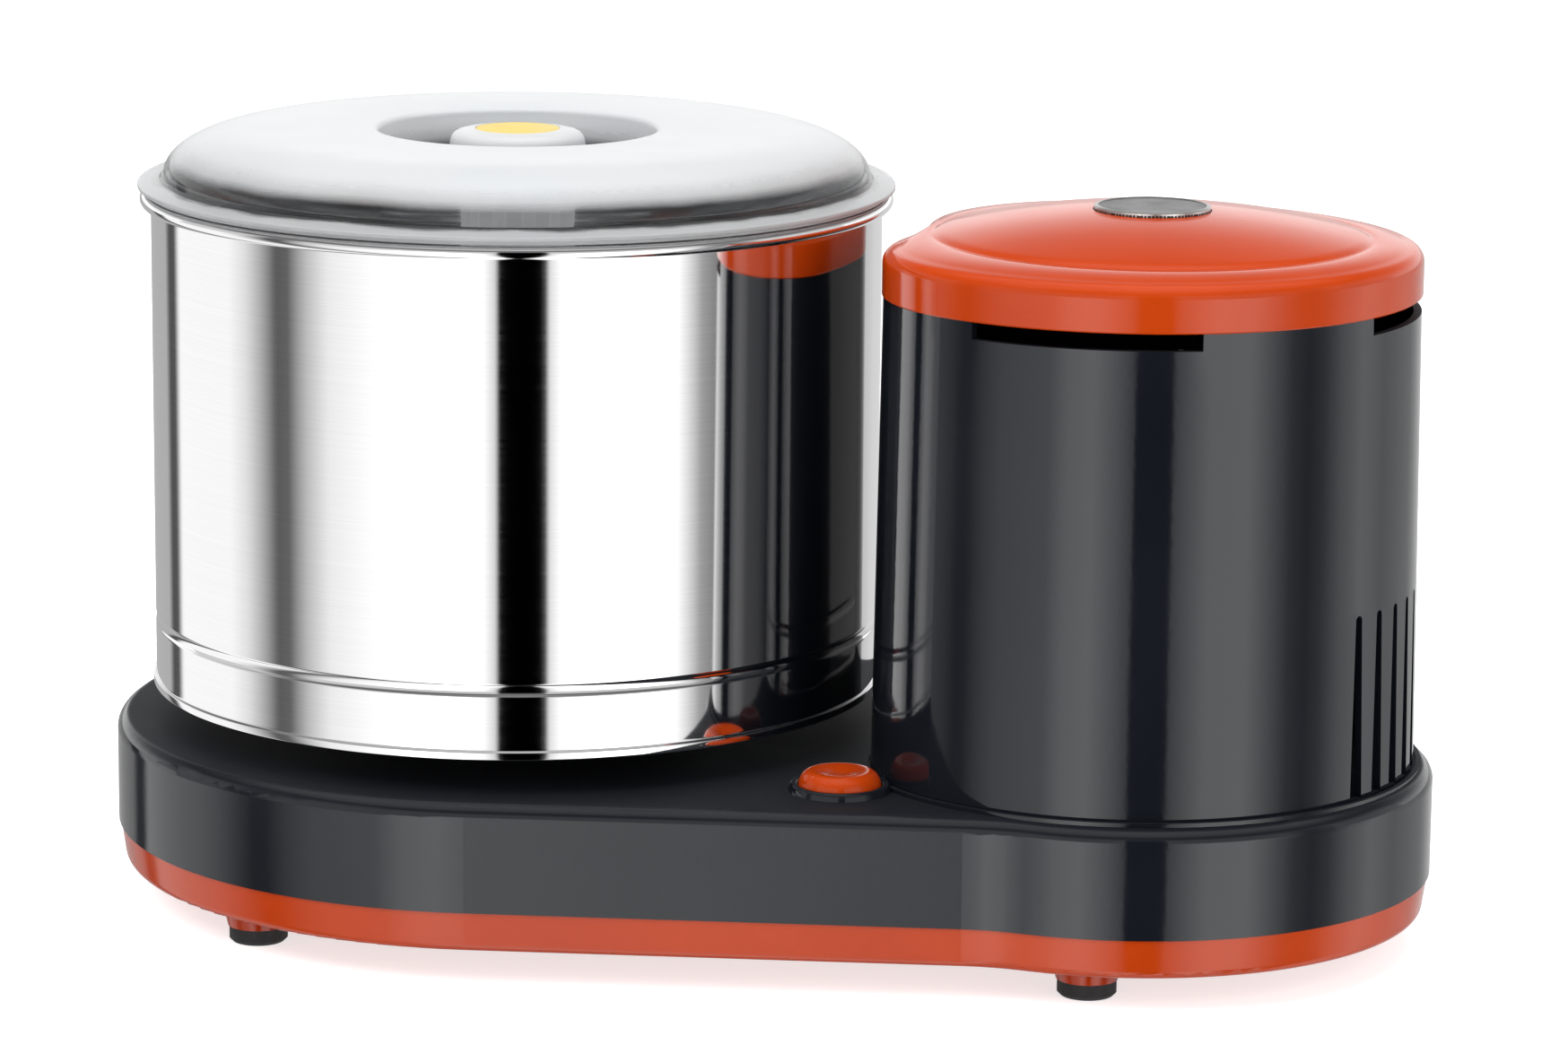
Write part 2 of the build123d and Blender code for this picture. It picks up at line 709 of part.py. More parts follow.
# Large pulley, small pulley and the ribbed belt round both
belt_ribs = 5
rib_pitch = 2.34
rib_depth = 1.7
belt_back = 1.6
belt_gap = 0.15
pulley_w = 14.0
pulley_rim = 5.0
pulley_holes = 6
pulley_hole_r = 13.0
pulley_hole_share = 0.5   # of the way from the hub flange to the rim
motor_pulley_edge = 1.0
rim_low_z = belt_z - pulley_w / 2
rim_high_z = belt_z + pulley_w / 2
pulley_inner_r = drum_pulley_r - rib_depth - pulley_rim
pulley_hole_reach = hub_flange_r + (pulley_inner_r - hub_flange_r) * pulley_hole_share
wrap = degrees(acos((drum_pulley_r - motor_pulley_r) / axis_gap))
belt_run = sqrt(axis_gap**2 - (drum_pulley_r - motor_pulley_r) ** 2)


def rib_levels():
    """The level of each rib's middle."""
    return [belt_z + (index - (belt_ribs - 1) / 2) * rib_pitch for index in range(belt_ribs)]


def rib_section(radius, mode=Mode.ADD):
    """The belt's ribs below a radius, as triangles in the current upright sketch."""
    for level in rib_levels():
        with BuildLine() as outline:
            Line((radius, level - rib_pitch / 2), (radius, level + rib_pitch / 2))
            Line((radius, level + rib_pitch / 2), (radius - rib_depth, level))
            Line((radius - rib_depth, level), (radius, level - rib_pitch / 2))
        make_face(outline.edges(), mode=mode)


def belt_section(radius):
    """The whole belt section on a pulley of a radius, in the current sketch."""
    inner = radius + belt_gap
    half = belt_ribs * rib_pitch / 2
    rib_section(inner)
    ring_section(inner, inner + belt_back, belt_z - half, belt_z + half)


with BuildPart() as drum_pulley:
    with BuildSketch(upright(drum_x)):
        ring_section(hub_r + fit_gap, drum_pulley_r - rib_depth, web_z, hub_flange_z)
        ring_section(pulley_inner_r, drum_pulley_r, rim_low_z, rim_high_z)
        rib_section(drum_pulley_r, mode=Mode.SUBTRACT)
    revolve(axis=upright_axis(drum_x))
    with Locations(drum_at):
        with PolarLocations(pulley_hole_reach, pulley_holes, start_angle=180 / pulley_holes):
            hole(pulley_hole_r, web_z, hub_flange_z)
        with PolarLocations(hub_screw_ring_r, hub_screws):
            hole(small_shank_r, web_z, hub_flange_z)
save(drum_pulley, "drum_pulley")

with BuildPart() as pulley_screws:
    with Locations(drum_at):
        with PolarLocations(hub_screw_ring_r, hub_screws):
            screw_up(small_screw, web_z, web_t + hub_flange_t)
save(pulley_screws, "pulley_screws")

with BuildPart() as drive_belt:
    with BuildSketch(radial_plane(drum_x, wrap)):
        belt_section(drum_pulley_r)
    extrude(amount=belt_run)
    mirror(about=Plane.XZ)
    with BuildSketch(radial_plane(drum_x, wrap)):
        belt_section(drum_pulley_r)
    revolve(axis=upright_axis(drum_x), revolution_arc=360 - 2 * wrap)
    with BuildSketch(radial_plane(tower_x, -wrap)):
        belt_section(motor_pulley_r)
    revolve(axis=upright_axis(tower_x), revolution_arc=2 * wrap)
save(drive_belt, "drive_belt")

# Motor levels, from the bosses on the deck upwards
spacer_h = 6.0
bracket_t = 4.0
bracket_edge_r = 14.0
lower_post_h = 14.0
upper_post_h = 16.0
bracket_boss_r = 15.0
bracket_boss_drop = 4.0
bracket_boss_rise = 4.0
motor_bearing_r = 11.0
motor_bearing_w = 9.0
bearing_floor = 1.0
winding_in_r = 30.0
winding_out_r = 44.0
lower_winding_h = 11.0
upper_winding_h = 13.0
air_gap = 0.6             # between the rotor and the stator
stator_corner_r = 16.0
stator_slots = 12
stator_slot_w = 5.0
stator_slot_depth = 14.0
shaft_stub = 0.5
fan_r = 58.0
fan_z_gap = 6.0
fan_h = 12.0
fan_disc_t = 1.6
fan_hub_r = 10.0
fan_blade_t = 1.6
fan_blades = 9
fan_blade_lean = 20.0     # degrees
lower_plate_z = motor_foot_z + spacer_h
lower_post_z = lower_plate_z + bracket_t
stator_z = lower_post_z + lower_post_h
stator_top_z = stator_z + stack_h
upper_plate_z = stator_top_z + upper_post_h
bolt_seat_z = upper_plate_z + bracket_t
fan_z = bolt_seat_z + fan_z_gap
motor_shaft_low_z = rim_low_z - shaft_stub
motor_shaft_top_z = fan_z + fan_h
stator_bore_r = rotor_r + air_gap
lower_bearing_z = lower_plate_z - bracket_boss_drop + bearing_floor
upper_motor_bearing_z = bolt_seat_z + bracket_boss_rise - bearing_floor - motor_bearing_w

with BuildPart() as motor_spacers:
    with Locations(tower_at):
        with GridLocations(2 * bolt_reach, 2 * bolt_reach, 2, 2):
            post(motor_boss_r, motor_foot_z, lower_plate_z)
            hole(machine_shank_r, motor_foot_z, lower_plate_z)
save(motor_spacers, "motor_spacers")


def bracket_plate(low):
    """A square plate with rounded corners on the motor axis."""
    with BuildSketch(Plane.XY.offset(low)) as plate:
        with Locations(tower_at):
            RectangleRounded(motor_side, motor_side, bracket_edge_r)
    extrude(plate.sketch, amount=bracket_t)


with BuildPart() as motor_lower_bracket:
    bracket_plate(lower_plate_z)
    with Locations(tower_at):
        post(bracket_boss_r, lower_plate_z - bracket_boss_drop, lower_post_z + bracket_boss_rise)
        with GridLocations(2 * bolt_reach, 2 * bolt_reach, 2, 2):
            post(motor_boss_r, lower_post_z, stator_z)
            hole(machine_shank_r, lower_plate_z, stator_z)
        hole(motor_bearing_r, lower_bearing_z, lower_post_z + bracket_boss_rise)
        hole(motor_shaft_r + overrun, lower_plate_z - bracket_boss_drop, lower_bearing_z)
save(motor_lower_bracket, "motor_lower_bracket")

with BuildPart() as motor_upper_bracket:
    bracket_plate(upper_plate_z)
    with Locations(tower_at):
        post(bracket_boss_r, upper_plate_z - bracket_boss_drop, bolt_seat_z + bracket_boss_rise)
        with GridLocations(2 * bolt_reach, 2 * bolt_reach, 2, 2):
            post(motor_boss_r, stator_top_z, upper_plate_z)
            hole(machine_shank_r, stator_top_z, bolt_seat_z)
        hole(motor_bearing_r, upper_plate_z - bracket_boss_drop, upper_motor_bearing_z + motor_bearing_w)
        hole(motor_shaft_r + overrun, upper_plate_z, bolt_seat_z + bracket_boss_rise)
save(motor_upper_bracket, "motor_upper_bracket")

with BuildPart() as stator_core:
    with BuildSketch(Plane.XY.offset(stator_z)):
        with Locations(tower_at):
            RectangleRounded(motor_side, motor_side, stator_corner_r)
            Circle(stator_bore_r, mode=Mode.SUBTRACT)
            with PolarLocations(stator_bore_r + (stator_slot_depth - stator_slot_w) / 2, stator_slots):
                SlotOverall(stator_slot_depth, stator_slot_w, mode=Mode.SUBTRACT)
            with GridLocations(2 * bolt_reach, 2 * bolt_reach, 2, 2):
                Circle(machine_shank_r, mode=Mode.SUBTRACT)
    extrude(amount=stack_h)
save(stator_core, "stator_core")

with BuildPart() as stator_windings:
    turned(
        tower_x,
        (winding_in_r, winding_out_r, stator_z - lower_winding_h, stator_z),
        (winding_in_r, winding_out_r, stator_top_z, stator_top_z + upper_winding_h),
    )
    fillet(stator_windings.edges().group_by(Axis.Z)[0], lower_winding_h / 4)
    fillet(stator_windings.edges().group_by(Axis.Z)[-1], upper_winding_h / 4)
save(stator_windings, "stator_windings")

with BuildPart() as motor_bolts:
    with Locations(tower_at):
        with GridLocations(2 * bolt_reach, 2 * bolt_reach, 2, 2):
            screw_down(machine_screw, bolt_seat_z, bolt_seat_z - under_deck_z + motor_boss_drop)
save(motor_bolts, "motor_bolts")

with BuildPart() as rotor_core:
    end_ring_h = lower_winding_h / 2
    turned(
        tower_x,
        (motor_shaft_r, rotor_r, stator_z, stator_top_z),
        (rotor_r - end_ring_h, rotor_r - air_gap, stator_z - end_ring_h, stator_z),
        (rotor_r - end_ring_h, rotor_r - air_gap, stator_top_z, stator_top_z + end_ring_h),
    )
save(rotor_core, "rotor_core")

with BuildPart() as rotor_shaft:
    with Locations(tower_at):
        post(motor_shaft_r, motor_shaft_low_z, motor_shaft_top_z)
    chamfer(rotor_shaft.edges().group_by(Axis.Z)[0], motor_shaft_r / 8)
save(rotor_shaft, "rotor_shaft")

with BuildPart() as motor_bearings:
    bearing(tower_x, motor_shaft_r + running_gap, motor_bearing_r, lower_bearing_z, motor_bearing_w)
    bearing(tower_x, motor_shaft_r + running_gap, motor_bearing_r, upper_motor_bearing_z, motor_bearing_w)
save(motor_bearings, "motor_bearings")

with BuildPart() as cooling_fan:
    turned(
        tower_x,
        (motor_shaft_r, fan_r, fan_z, fan_z + fan_disc_t),
        (motor_shaft_r, fan_hub_r, fan_z, fan_z + fan_h),
    )
    with BuildSketch(Plane.XY.offset(fan_z + fan_disc_t)):
        with Locations(tower_at):
            with PolarLocations((fan_hub_r + fan_r) / 2, fan_blades):
                Rectangle(fan_r - fan_hub_r - fan_h / 2, fan_blade_t, rotation=fan_blade_lean)
    extrude(amount=fan_h - fan_disc_t)
save(cooling_fan, "cooling_fan")

with BuildPart() as motor_pulley:
    with BuildSketch(upright(tower_x)):
        ring_section(motor_shaft_r, motor_pulley_r, rim_low_z, rim_high_z)
        rib_section(motor_pulley_r, mode=Mode.SUBTRACT)
    revolve(axis=upright_axis(tower_x))
save(motor_pulley, "motor_pulley")

with BuildPart() as capacitor:
    with Locations(capacitor_at):
        post(capacitor_r, deck_z, deck_z + capacitor_h)
    fillet(capacitor.edges().group_by(Axis.Z)[-1], capacitor_r / 10)
save(capacitor, "capacitor")

# Switch: button, collar, spring and switch body
switch_l = 24.0
switch_w = 20.0
switch_h = 12.3
stem_r = 3.0
stem_clearance = 0.5
stem_l = 12.0
stem_drop_floor = 2.0
spring_r = 8.0
spring_wire = 1.2
switch_top_z = deck_z - collar_depth
button_low_z = deck_z - button_skirt
button_top_z = deck_z + button_proud
switch_edge_r = 2.0

with BuildPart() as switch_body:
    with BuildSketch(Plane.XY.offset(switch_top_z - switch_h)):
        with Locations(button_at):
            RectangleRounded(switch_l, switch_w, switch_edge_r)
    extrude(amount=switch_h)
    with Locations(button_at):
        hole(stem_r + stem_clearance, switch_top_z - switch_h + stem_drop_floor, switch_top_z)
        with GridLocations(switch_l / 2, 0, 2, 1):
            with Locations((0, 0, switch_top_z - switch_h)):
                Box(spring_wire, switch_w / 3, switch_w / 3, align=down_from_top)
save(switch_body, "switch_body")

with BuildPart() as button_collar:
    with BuildSketch(Plane.XY.offset(switch_top_z)):
        with Locations(button_at):
            Circle(collar_r)
    extrude(amount=collar_depth)
    with Locations(button_at):
        post(collar_flange_r, deck_z, deck_z + collar_h)
    fillet(button_collar.edges().group_by(Axis.Z)[-1], collar_h / 2)
    with Locations(button_at):
        hole(collar_bore_r, switch_top_z, deck_z + collar_h)
save(button_collar, "button_collar")

with BuildPart() as button_spring:
    with Locations(button_at):
        post(spring_r, switch_top_z + running_gap, button_low_z - running_gap)
        hole(spring_r - spring_wire, switch_top_z + running_gap, button_low_z - running_gap)
save(button_spring, "button_spring")

with BuildPart() as button:
    with Locations(button_at):
        post(button_r, button_low_z, button_top_z)
    fillet(button.edges().group_by(Axis.Z)[-1], button_edge_r)
    dish_sphere_r = ((button_r - button_edge_r) ** 2 + button_dish**2) / (2 * button_dish)
    with Locations(at_level(button_at, button_top_z - button_dish + dish_sphere_r)):
        Sphere(dish_sphere_r, mode=Mode.SUBTRACT)
    with Locations(button_at):
        post(stem_r, button_low_z - stem_l, button_low_z)
save(button, "button")

# Terminal block and cord grommet
block_l = 26.0
block_w = 14.0
block_h = 12.0
block_step = 4.0
block_inset = 6.4         # from the tower's radius to the middle of the terminal block
block_angle = 127.75      # degrees, round the tower axis
block_at = polar(tower_at, tower_r - block_inset, block_angle)
gland_in_r = 7.5
gland_in_gap = 0.5
gland_l = 9.0

with BuildPart() as terminal_block:
    with BuildSketch(Plane.XY.offset(floor_z)):
        with Locations(block_at):
            Rectangle(block_l, block_w)
    extrude(amount=block_h - block_step)
    with BuildSketch(Plane.XY.offset(floor_z + block_h - block_step)):
        with Locations(block_at):
            Rectangle(block_l, block_w - 2 * block_step)
    extrude(amount=block_step)
save(terminal_block, "terminal_block")

with BuildPart() as cord_grommet:
    with BuildSketch(Plane((tower_x, tower_lobe_r + fit_gap, gland_z), x_dir=(1, 0, 0), z_dir=(0, 1, 0))):
        Circle(gland_flange_r)
    extrude(amount=gland_flange_t)
    chamfer(cord_grommet.edges().group_by(Axis.Y)[-1], gland_flange_t / 3)
    with BuildSketch(Plane((tower_x, tower_lobe_r + fit_gap, gland_z), x_dir=(1, 0, 0), z_dir=(0, -1, 0))):
        Circle(gland_r)
    extrude(amount=gland_l)
    with BuildSketch(
        Plane((tower_x, tower_lobe_r - shell_wall - gland_in_gap, gland_z), x_dir=(1, 0, 0), z_dir=(0, -1, 0))
    ):
        Circle(gland_in_r)
    extrude(amount=gland_flange_t)
    with BuildSketch(Plane((tower_x, 0, gland_z), x_dir=(1, 0, 0), z_dir=(0, 1, 0))):
        Circle(gland_bore_r)
    extrude(amount=tower_lobe_r + gland_l, mode=Mode.SUBTRACT)
save(cord_grommet, "cord_grommet")

# Drum wall: a lower hem, a pressed groove and a rolled rim
hem_h = 2.6
hem_w = 0.9
groove_rise = 21.0
groove_arc_r = 3.0
groove_depth = 0.7
rim_bead_r = 2.0
rim_bead_out = 1.4        # from the wall's outside to the middle of the rolled rim
weld_gap = 0.1
drum_floor_rise = 4.6
drum_floor_t = 1.2
drum_flange_drop = 4.0
drum_boss_r = 58.0
boss_bush_r = 11.0
rivet_ring_r = 50.0
rivets = 6
socket_gap = 0.3
stone_gap = 2.0           # between the floor stone and the drum wall
stone_bore_gap = 0.3
tube_r = 15.0
tube_wall = 3.0
tube_rise = 6.0
clamp_r = 26.0
clamp_t = 3.0
groove_z = hem_z + groove_rise
drum_floor_z = hem_z + drum_floor_rise
drum_floor_top_z = drum_floor_z + drum_floor_t
drum_boss_z = disc_top_z + seat_gap
stone_z = drum_floor_top_z + seat_gap
stone_top_z = stone_z + floor_stone_t
tube_top_z = stone_top_z + tube_rise
stone_r = drum_bore_r - stone_gap

with BuildPart() as drum_shell:
    with BuildSketch(upright(drum_x)):
        with Locations((drum_r + groove_arc_r - groove_depth, groove_z)):
            Circle(groove_arc_r + drum_wall)
        with Locations((drum_r, groove_z)):
            Rectangle(4 * groove_arc_r, 4 * groove_arc_r, align=(Align.MIN, Align.CENTER), mode=Mode.SUBTRACT)
        ring_section(drum_bore_r, drum_r, hem_z, rim_z - rim_bead_r)
        ring_section(drum_r, drum_r + hem_w, hem_z, hem_z + hem_h)
        with Locations((drum_r + groove_arc_r - groove_depth, groove_z)):
            Circle(groove_arc_r, mode=Mode.SUBTRACT)
        with Locations((drum_r + rim_bead_out, rim_z - rim_bead_r)):
            Circle(rim_bead_r)
    revolve(axis=upright_axis(drum_x))
save(drum_shell, "drum_shell")

with BuildPart() as drum_floor:
    turned(
        drum_x,
        (boss_bush_r + weld_gap, drum_bore_r - weld_gap, drum_floor_z, drum_floor_top_z),
        (
            drum_bore_r - weld_gap - drum_floor_t,
            drum_bore_r - weld_gap,
            drum_floor_z - drum_flange_drop,
            drum_floor_z,
        ),
    )
    with Locations(drum_at):
        with PolarLocations(rivet_ring_r, rivets, start_angle=180 / rivets):
            hole(small_shank_r, drum_floor_z, drum_floor_top_z)
save(drum_floor, "drum_floor")

with BuildPart() as drum_boss:
    with Locations(drum_at):
        post(drum_boss_r, drum_boss_z, drum_floor_z)
    chamfer(drum_boss.edges().group_by(Axis.Z)[0], (drum_floor_z - drum_boss_z) / 4)
    with Locations(drum_at):
        hole(boss_bush_r + weld_gap, drum_boss_z, drum_floor_z)
        with PolarLocations(peg_ring_r, pegs):
            hole(peg_r + socket_gap, drum_boss_z, disc_top_z + peg_h + seat_gap)
        with PolarLocations(rivet_ring_r, rivets, start_angle=180 / rivets):
            hole(small_shank_r, drum_boss_z, drum_floor_z)
save(drum_boss, "drum_boss")

rivet_head_h = 1.2

with BuildPart() as boss_rivets:
    with Locations(drum_at):
        with PolarLocations(rivet_ring_r, rivets, start_angle=180 / rivets):
            post(small_shank_r, drum_boss_z, drum_floor_top_z)
            post(small_head_r, drum_boss_z - rivet_head_h, drum_boss_z)
save(boss_rivets, "boss_rivets")

with BuildPart() as lower_bush:
    turned(drum_x, (shaft_r + running_gap, boss_bush_r, drum_boss_z, drum_floor_top_z))
save(lower_bush, "lower_bush")

stone_edge = 1.5

with BuildPart() as base_stone:
    with Locations(drum_at):
        post(stone_r, stone_z, stone_top_z)
    chamfer(base_stone.edges().group_by(Axis.Z)[-1], stone_edge)
    with Locations(drum_at):
        hole(tube_r + stone_bore_gap, stone_z, stone_top_z)
save(base_stone, "base_stone")

with BuildPart() as centre_tube:
    turned(drum_x, (tube_r - tube_wall, tube_r, drum_floor_top_z, tube_top_z))
save(centre_tube, "centre_tube")

with BuildPart() as stone_clamp_ring:
    turned(drum_x, (tube_r + running_gap, clamp_r, stone_top_z, stone_top_z + clamp_t))
    chamfer(stone_clamp_ring.edges().group_by(Axis.Z)[-1].sort_by(SortBy.RADIUS)[-1], clamp_t / 3)
save(stone_clamp_ring, "stone_clamp_ring")

# Bush that closes the centre tube and stands still on the hexagon of the shaft
bush_spigot = 10.0
bush_collar_t = 5.7
barrel_r = 17.0
hex_gap = 0.08
bush_z = tube_top_z + seat_gap
bush_top_z = bush_z + bush_collar_t
spigot_r = tube_r - tube_wall - hex_gap

with BuildPart() as shaft_bush:
    with Locations(drum_at):
        post(barrel_r, bush_z, bush_top_z)
        post(spigot_r, tube_top_z - bush_spigot, bush_z)
    with BuildSketch(Plane.XY.offset(tube_top_z - bush_spigot)):
        with Locations(drum_at):
            RegularPolygon(hex_r + hex_gap, 6)
    extrude(amount=bush_spigot + seat_gap + bush_collar_t, mode=Mode.SUBTRACT)
    with Locations(drum_at):
        hole(hex_r + hex_gap, tube_top_z - bush_spigot, hex_z + seat_gap)
save(shaft_bush, "shaft_bush")

# Rolling stones: the lower line of each cone lies level on the floor stone
roll_gap = 0.3
axle_r = 6.0
axle_root = 12.0
axle_boss_r = 10.5
axle_end_gap = 0.6
bush_wall = 3.0
bush_proud = 0.3
washer_t = 1.5
washer_r = 11.0
nut_t = 6.0
nut_r = 9.5
roller_edge_r = 2.5
roll_lean = atan((cone_large_r - cone_small_r) / cone_length)
near_x = cone_start - cone_small_r * sin(roll_lean)
near_z = stone_top_z + roll_gap + cone_small_r * cos(roll_lean)
washer_at = cone_length + axle_end_gap
nut_at = washer_at + washer_t
axle_tip = nut_at + nut_t


def roller_plane(side, along):
    """The plane across an axle at a distance along it from the cone's near face; side is -1 or 1."""
    return Plane(
        (drum_x + side * near_x, 0, near_z),
        x_dir=(0, 1, 0),
        z_dir=(side * cos(roll_lean), 0, sin(roll_lean)),
    ).offset(along)


for name, side in (("roller_stone_left", -1), ("roller_stone_right", 1)):
    with BuildPart() as roller_stone:
        with Locations(roller_plane(side, 0)):
            Cone(cone_small_r, cone_large_r, cone_length, align=up_from_base)
        far_rim = roller_stone.edges().filter_by(GeomType.CIRCLE).sort_by(SortBy.RADIUS)[-1]
        fillet(far_rim, roller_edge_r)
        with Locations(roller_plane(side, 0)):
            Cylinder(axle_r + running_gap + bush_wall, cone_length, align=up_from_base, mode=Mode.SUBTRACT)
    save(roller_stone, name)

for name, side in (("roller_bush_left", -1), ("roller_bush_right", 1)):
    with BuildPart() as roller_bush:
        with Locations(roller_plane(side, -bush_proud)):
            bush_l = cone_length + 2 * bush_proud
            Cylinder(axle_r + running_gap + bush_wall, bush_l, align=up_from_base)
            Cylinder(axle_r + running_gap, bush_l, align=up_from_base, mode=Mode.SUBTRACT)
    save(roller_bush, name)

# Yoke on the shaft, with a stub for the grip knob and the scraper
barrel_h = 82.0
barrel_edge_r = 1.5
stub_r = 10.0
shaft_top_gap = 1.5
scraper_t = 3.0
scraper_w = 13.0
scraper_ring_r = 17.0
scraper_wall_gap = 6.5    # from the inside of the drum to the back of the scraper's leg
scraper_reach = drum_bore_r - scraper_wall_gap
leg_drop = 66.0
blade_w = 30.0
blade_t = 3.0
blade_h = 41.0
blade_gap = 2.0
knob_base_gap = 0.1
knob_r = 17.5
knob_head_r = 24.0
knob_head_h = 6.5
knob_flutes = 12
flute_r = 2.6
well_drop = 13.8          # from the top of the lid down to the floor of its well
lid_rise = 19.0           # from the rim to the top of the lid's crown
lid_wall = 2.0
lid_gap = 0.3
lid_top_z = rim_z + lid_gap + lid_rise
well_z = lid_top_z - well_drop
well_under_z = well_z - lid_wall
barrel_z = bush_top_z + seat_gap
barrel_top_z = barrel_z + barrel_h
knob_z = barrel_top_z + scraper_t + knob_base_gap
knob_top_z = well_under_z - lid_gap
stub_top_z = knob_top_z - knob_head_h

with BuildPart() as roller_yoke:
    with Locations(drum_at):
        post(barrel_r, barrel_z, barrel_top_z)
    fillet(roller_yoke.edges().group_by(Axis.Z)[-1], barrel_edge_r)
    for side in (-1, 1):
        with Locations(roller_plane(side, -axle_end_gap)):
            Cylinder(axle_boss_r, axle_root, align=down_from_top)
    with Locations(drum_at):
        hole(cone_start, stone_top_z, barrel_z)
        post(stub_r, barrel_top_z, stub_top_z)
    with BuildSketch(Plane.XY.offset(barrel_z)):
        with Locations(drum_at):
            RegularPolygon(hex_r + hex_gap, 6)
    extrude(amount=shaft_top_z + shaft_top_gap - barrel_z, mode=Mode.SUBTRACT)
    for side in (-1, 1):
        with Locations(roller_plane(side, -axle_end_gap)):
            Cylinder(axle_r, axle_root, align=down_from_top, mode=Mode.SUBTRACT)
save(roller_yoke, "roller_yoke")

with BuildPart() as roller_axles:
    for side in (-1, 1):
        with Locations(roller_plane(side, -axle_end_gap - axle_root)):
            Cylinder(axle_r, axle_tip + axle_end_gap + axle_root, align=up_from_base)
save(roller_axles, "roller_axles")

with BuildPart() as axle_washers:
    for side in (-1, 1):
        with Locations(roller_plane(side, washer_at)):
            Cylinder(washer_r, washer_t, align=up_from_base)
            Cylinder(axle_r, washer_t, align=up_from_base, mode=Mode.SUBTRACT)
save(axle_washers, "axle_washers")

with BuildPart() as axle_nuts:
    for side in (-1, 1):
        with BuildSketch(roller_plane(side, nut_at)):
            RegularPolygon(nut_r, 6)
            Circle(axle_r, mode=Mode.SUBTRACT)
        extrude(amount=nut_t)
save(axle_nuts, "axle_nuts")

with BuildPart() as grip_knob:
    with BuildSketch(Plane.XY.offset(knob_z)):
        with Locations(drum_at):
            Circle(knob_r)
            with PolarLocations(knob_r + flute_r / 2, knob_flutes):
                Circle(flute_r, mode=Mode.SUBTRACT)
    extrude(amount=knob_top_z - knob_head_h - knob_z)
    with BuildSketch(Plane.XY.offset(knob_top_z - knob_head_h)):
        with Locations(drum_at):
            Circle(knob_r)
    with BuildSketch(Plane.XY.offset(knob_top_z - knob_head_h / 2)):
        with Locations(drum_at):
            Circle(knob_head_r)
    loft()
    with Locations(drum_at):
        post(knob_head_r, knob_top_z - knob_head_h / 2, knob_top_z)
    fillet(grip_knob.edges().group_by(Axis.Z)[-1], knob_head_h / 4)
    with Locations(drum_at):
        hole(stub_r, knob_z, stub_top_z)
save(grip_knob, "grip_knob")

with BuildPart() as scraper_arm:
    with BuildSketch(Plane.XY.offset(barrel_top_z)):
        with Locations(drum_at):
            Circle(scraper_ring_r)
            with Locations((0, scraper_reach / 2)):
                Rectangle(scraper_w, scraper_reach)
            Circle(stub_r, mode=Mode.SUBTRACT)
    extrude(amount=scraper_t)
    with Locations((drum_x, scraper_reach, barrel_top_z)):
        Box(scraper_w, scraper_t, leg_drop, align=(Align.CENTER, Align.MAX, Align.MAX))
    with Locations(Plane((drum_x, 0, barrel_top_z - leg_drop + scraper_w / 2), z_dir=(0, 1, 0))):
        Cylinder(small_shank_r, scraper_reach, align=up_from_base, mode=Mode.SUBTRACT)
save(scraper_arm, "scraper_arm")

with BuildPart() as scraper_blade:
    with Locations((drum_x, scraper_reach, stone_top_z + blade_gap)):
        Box(blade_w, blade_t, blade_h, align=(Align.CENTER, Align.MIN, Align.MIN))
    chamfer(scraper_blade.edges().filter_by(Axis.Z).group_by(Axis.Y)[-1], blade_t / 2)
    with Locations(Plane((drum_x, 0, barrel_top_z - leg_drop + scraper_w / 2), z_dir=(0, 1, 0))):
        Cylinder(small_shank_r, scraper_reach + blade_t, align=up_from_base, mode=Mode.SUBTRACT)
save(scraper_blade, "scraper_blade")

with BuildPart() as scraper_screw:
    screw_level = barrel_top_z - leg_drop + scraper_w / 2
    with Locations(Plane((drum_x, scraper_reach - scraper_t, screw_level), z_dir=(0, 1, 0))):
        Cylinder(small_shank_r, scraper_t + blade_t, align=up_from_base)
        Cylinder(small_head_r, small_head_h, align=down_from_top)
save(scraper_screw, "scraper_screw")

# Lid: a flat flange on the drum's rim, a stepped side, a soft shoulder, and a round knob in a well
lid_overhang = 0.6        # past the rolled rim of the drum
lid_flange_w = 7.8
lid_flange_t = 1.2
lid_step_h = 4.9
lid_shoulder_w = 28.7
lid_well_r = 43.0
lid_well_draft = 2.5
lid_knob_r = 22.0
lid_knob_top_r = 20.0
lid_knob_dome = 1.4
quarter_turn = 90.0       # degrees
lid_z = rim_z + lid_gap
lid_flange_r = drum_r + rim_bead_out + rim_bead_r + lid_overhang
lid_side_r = lid_flange_r - lid_flange_w
lid_crown_r = lid_side_r - lid_shoulder_w


def lid_shoulder(inset):
    """The curve of the lid's shoulder from its side to its crown, set in by a margin."""
    side_r = lid_side_r - inset
    low = lid_z + lid_step_h
    high = lid_top_z - inset
    EllipticalCenterArc((lid_crown_r, low), side_r - lid_crown_r, high - low, arc_size=quarter_turn)
    return side_r, low, high


def knob_dome(radius, high):
    """The low dome on the lid's knob, from its edge to the axis."""
    sphere_r = (radius**2 + lid_knob_dome**2) / (2 * lid_knob_dome)
    half_angle = asin(radius / sphere_r) / 2
    middle = (sphere_r * sin(half_angle), high - sphere_r * (1 - cos(half_angle)))
    ThreePointArc((radius, high - lid_knob_dome), middle, (0, high))


well_foot_r = lid_well_r - lid_well_draft + lid_wall

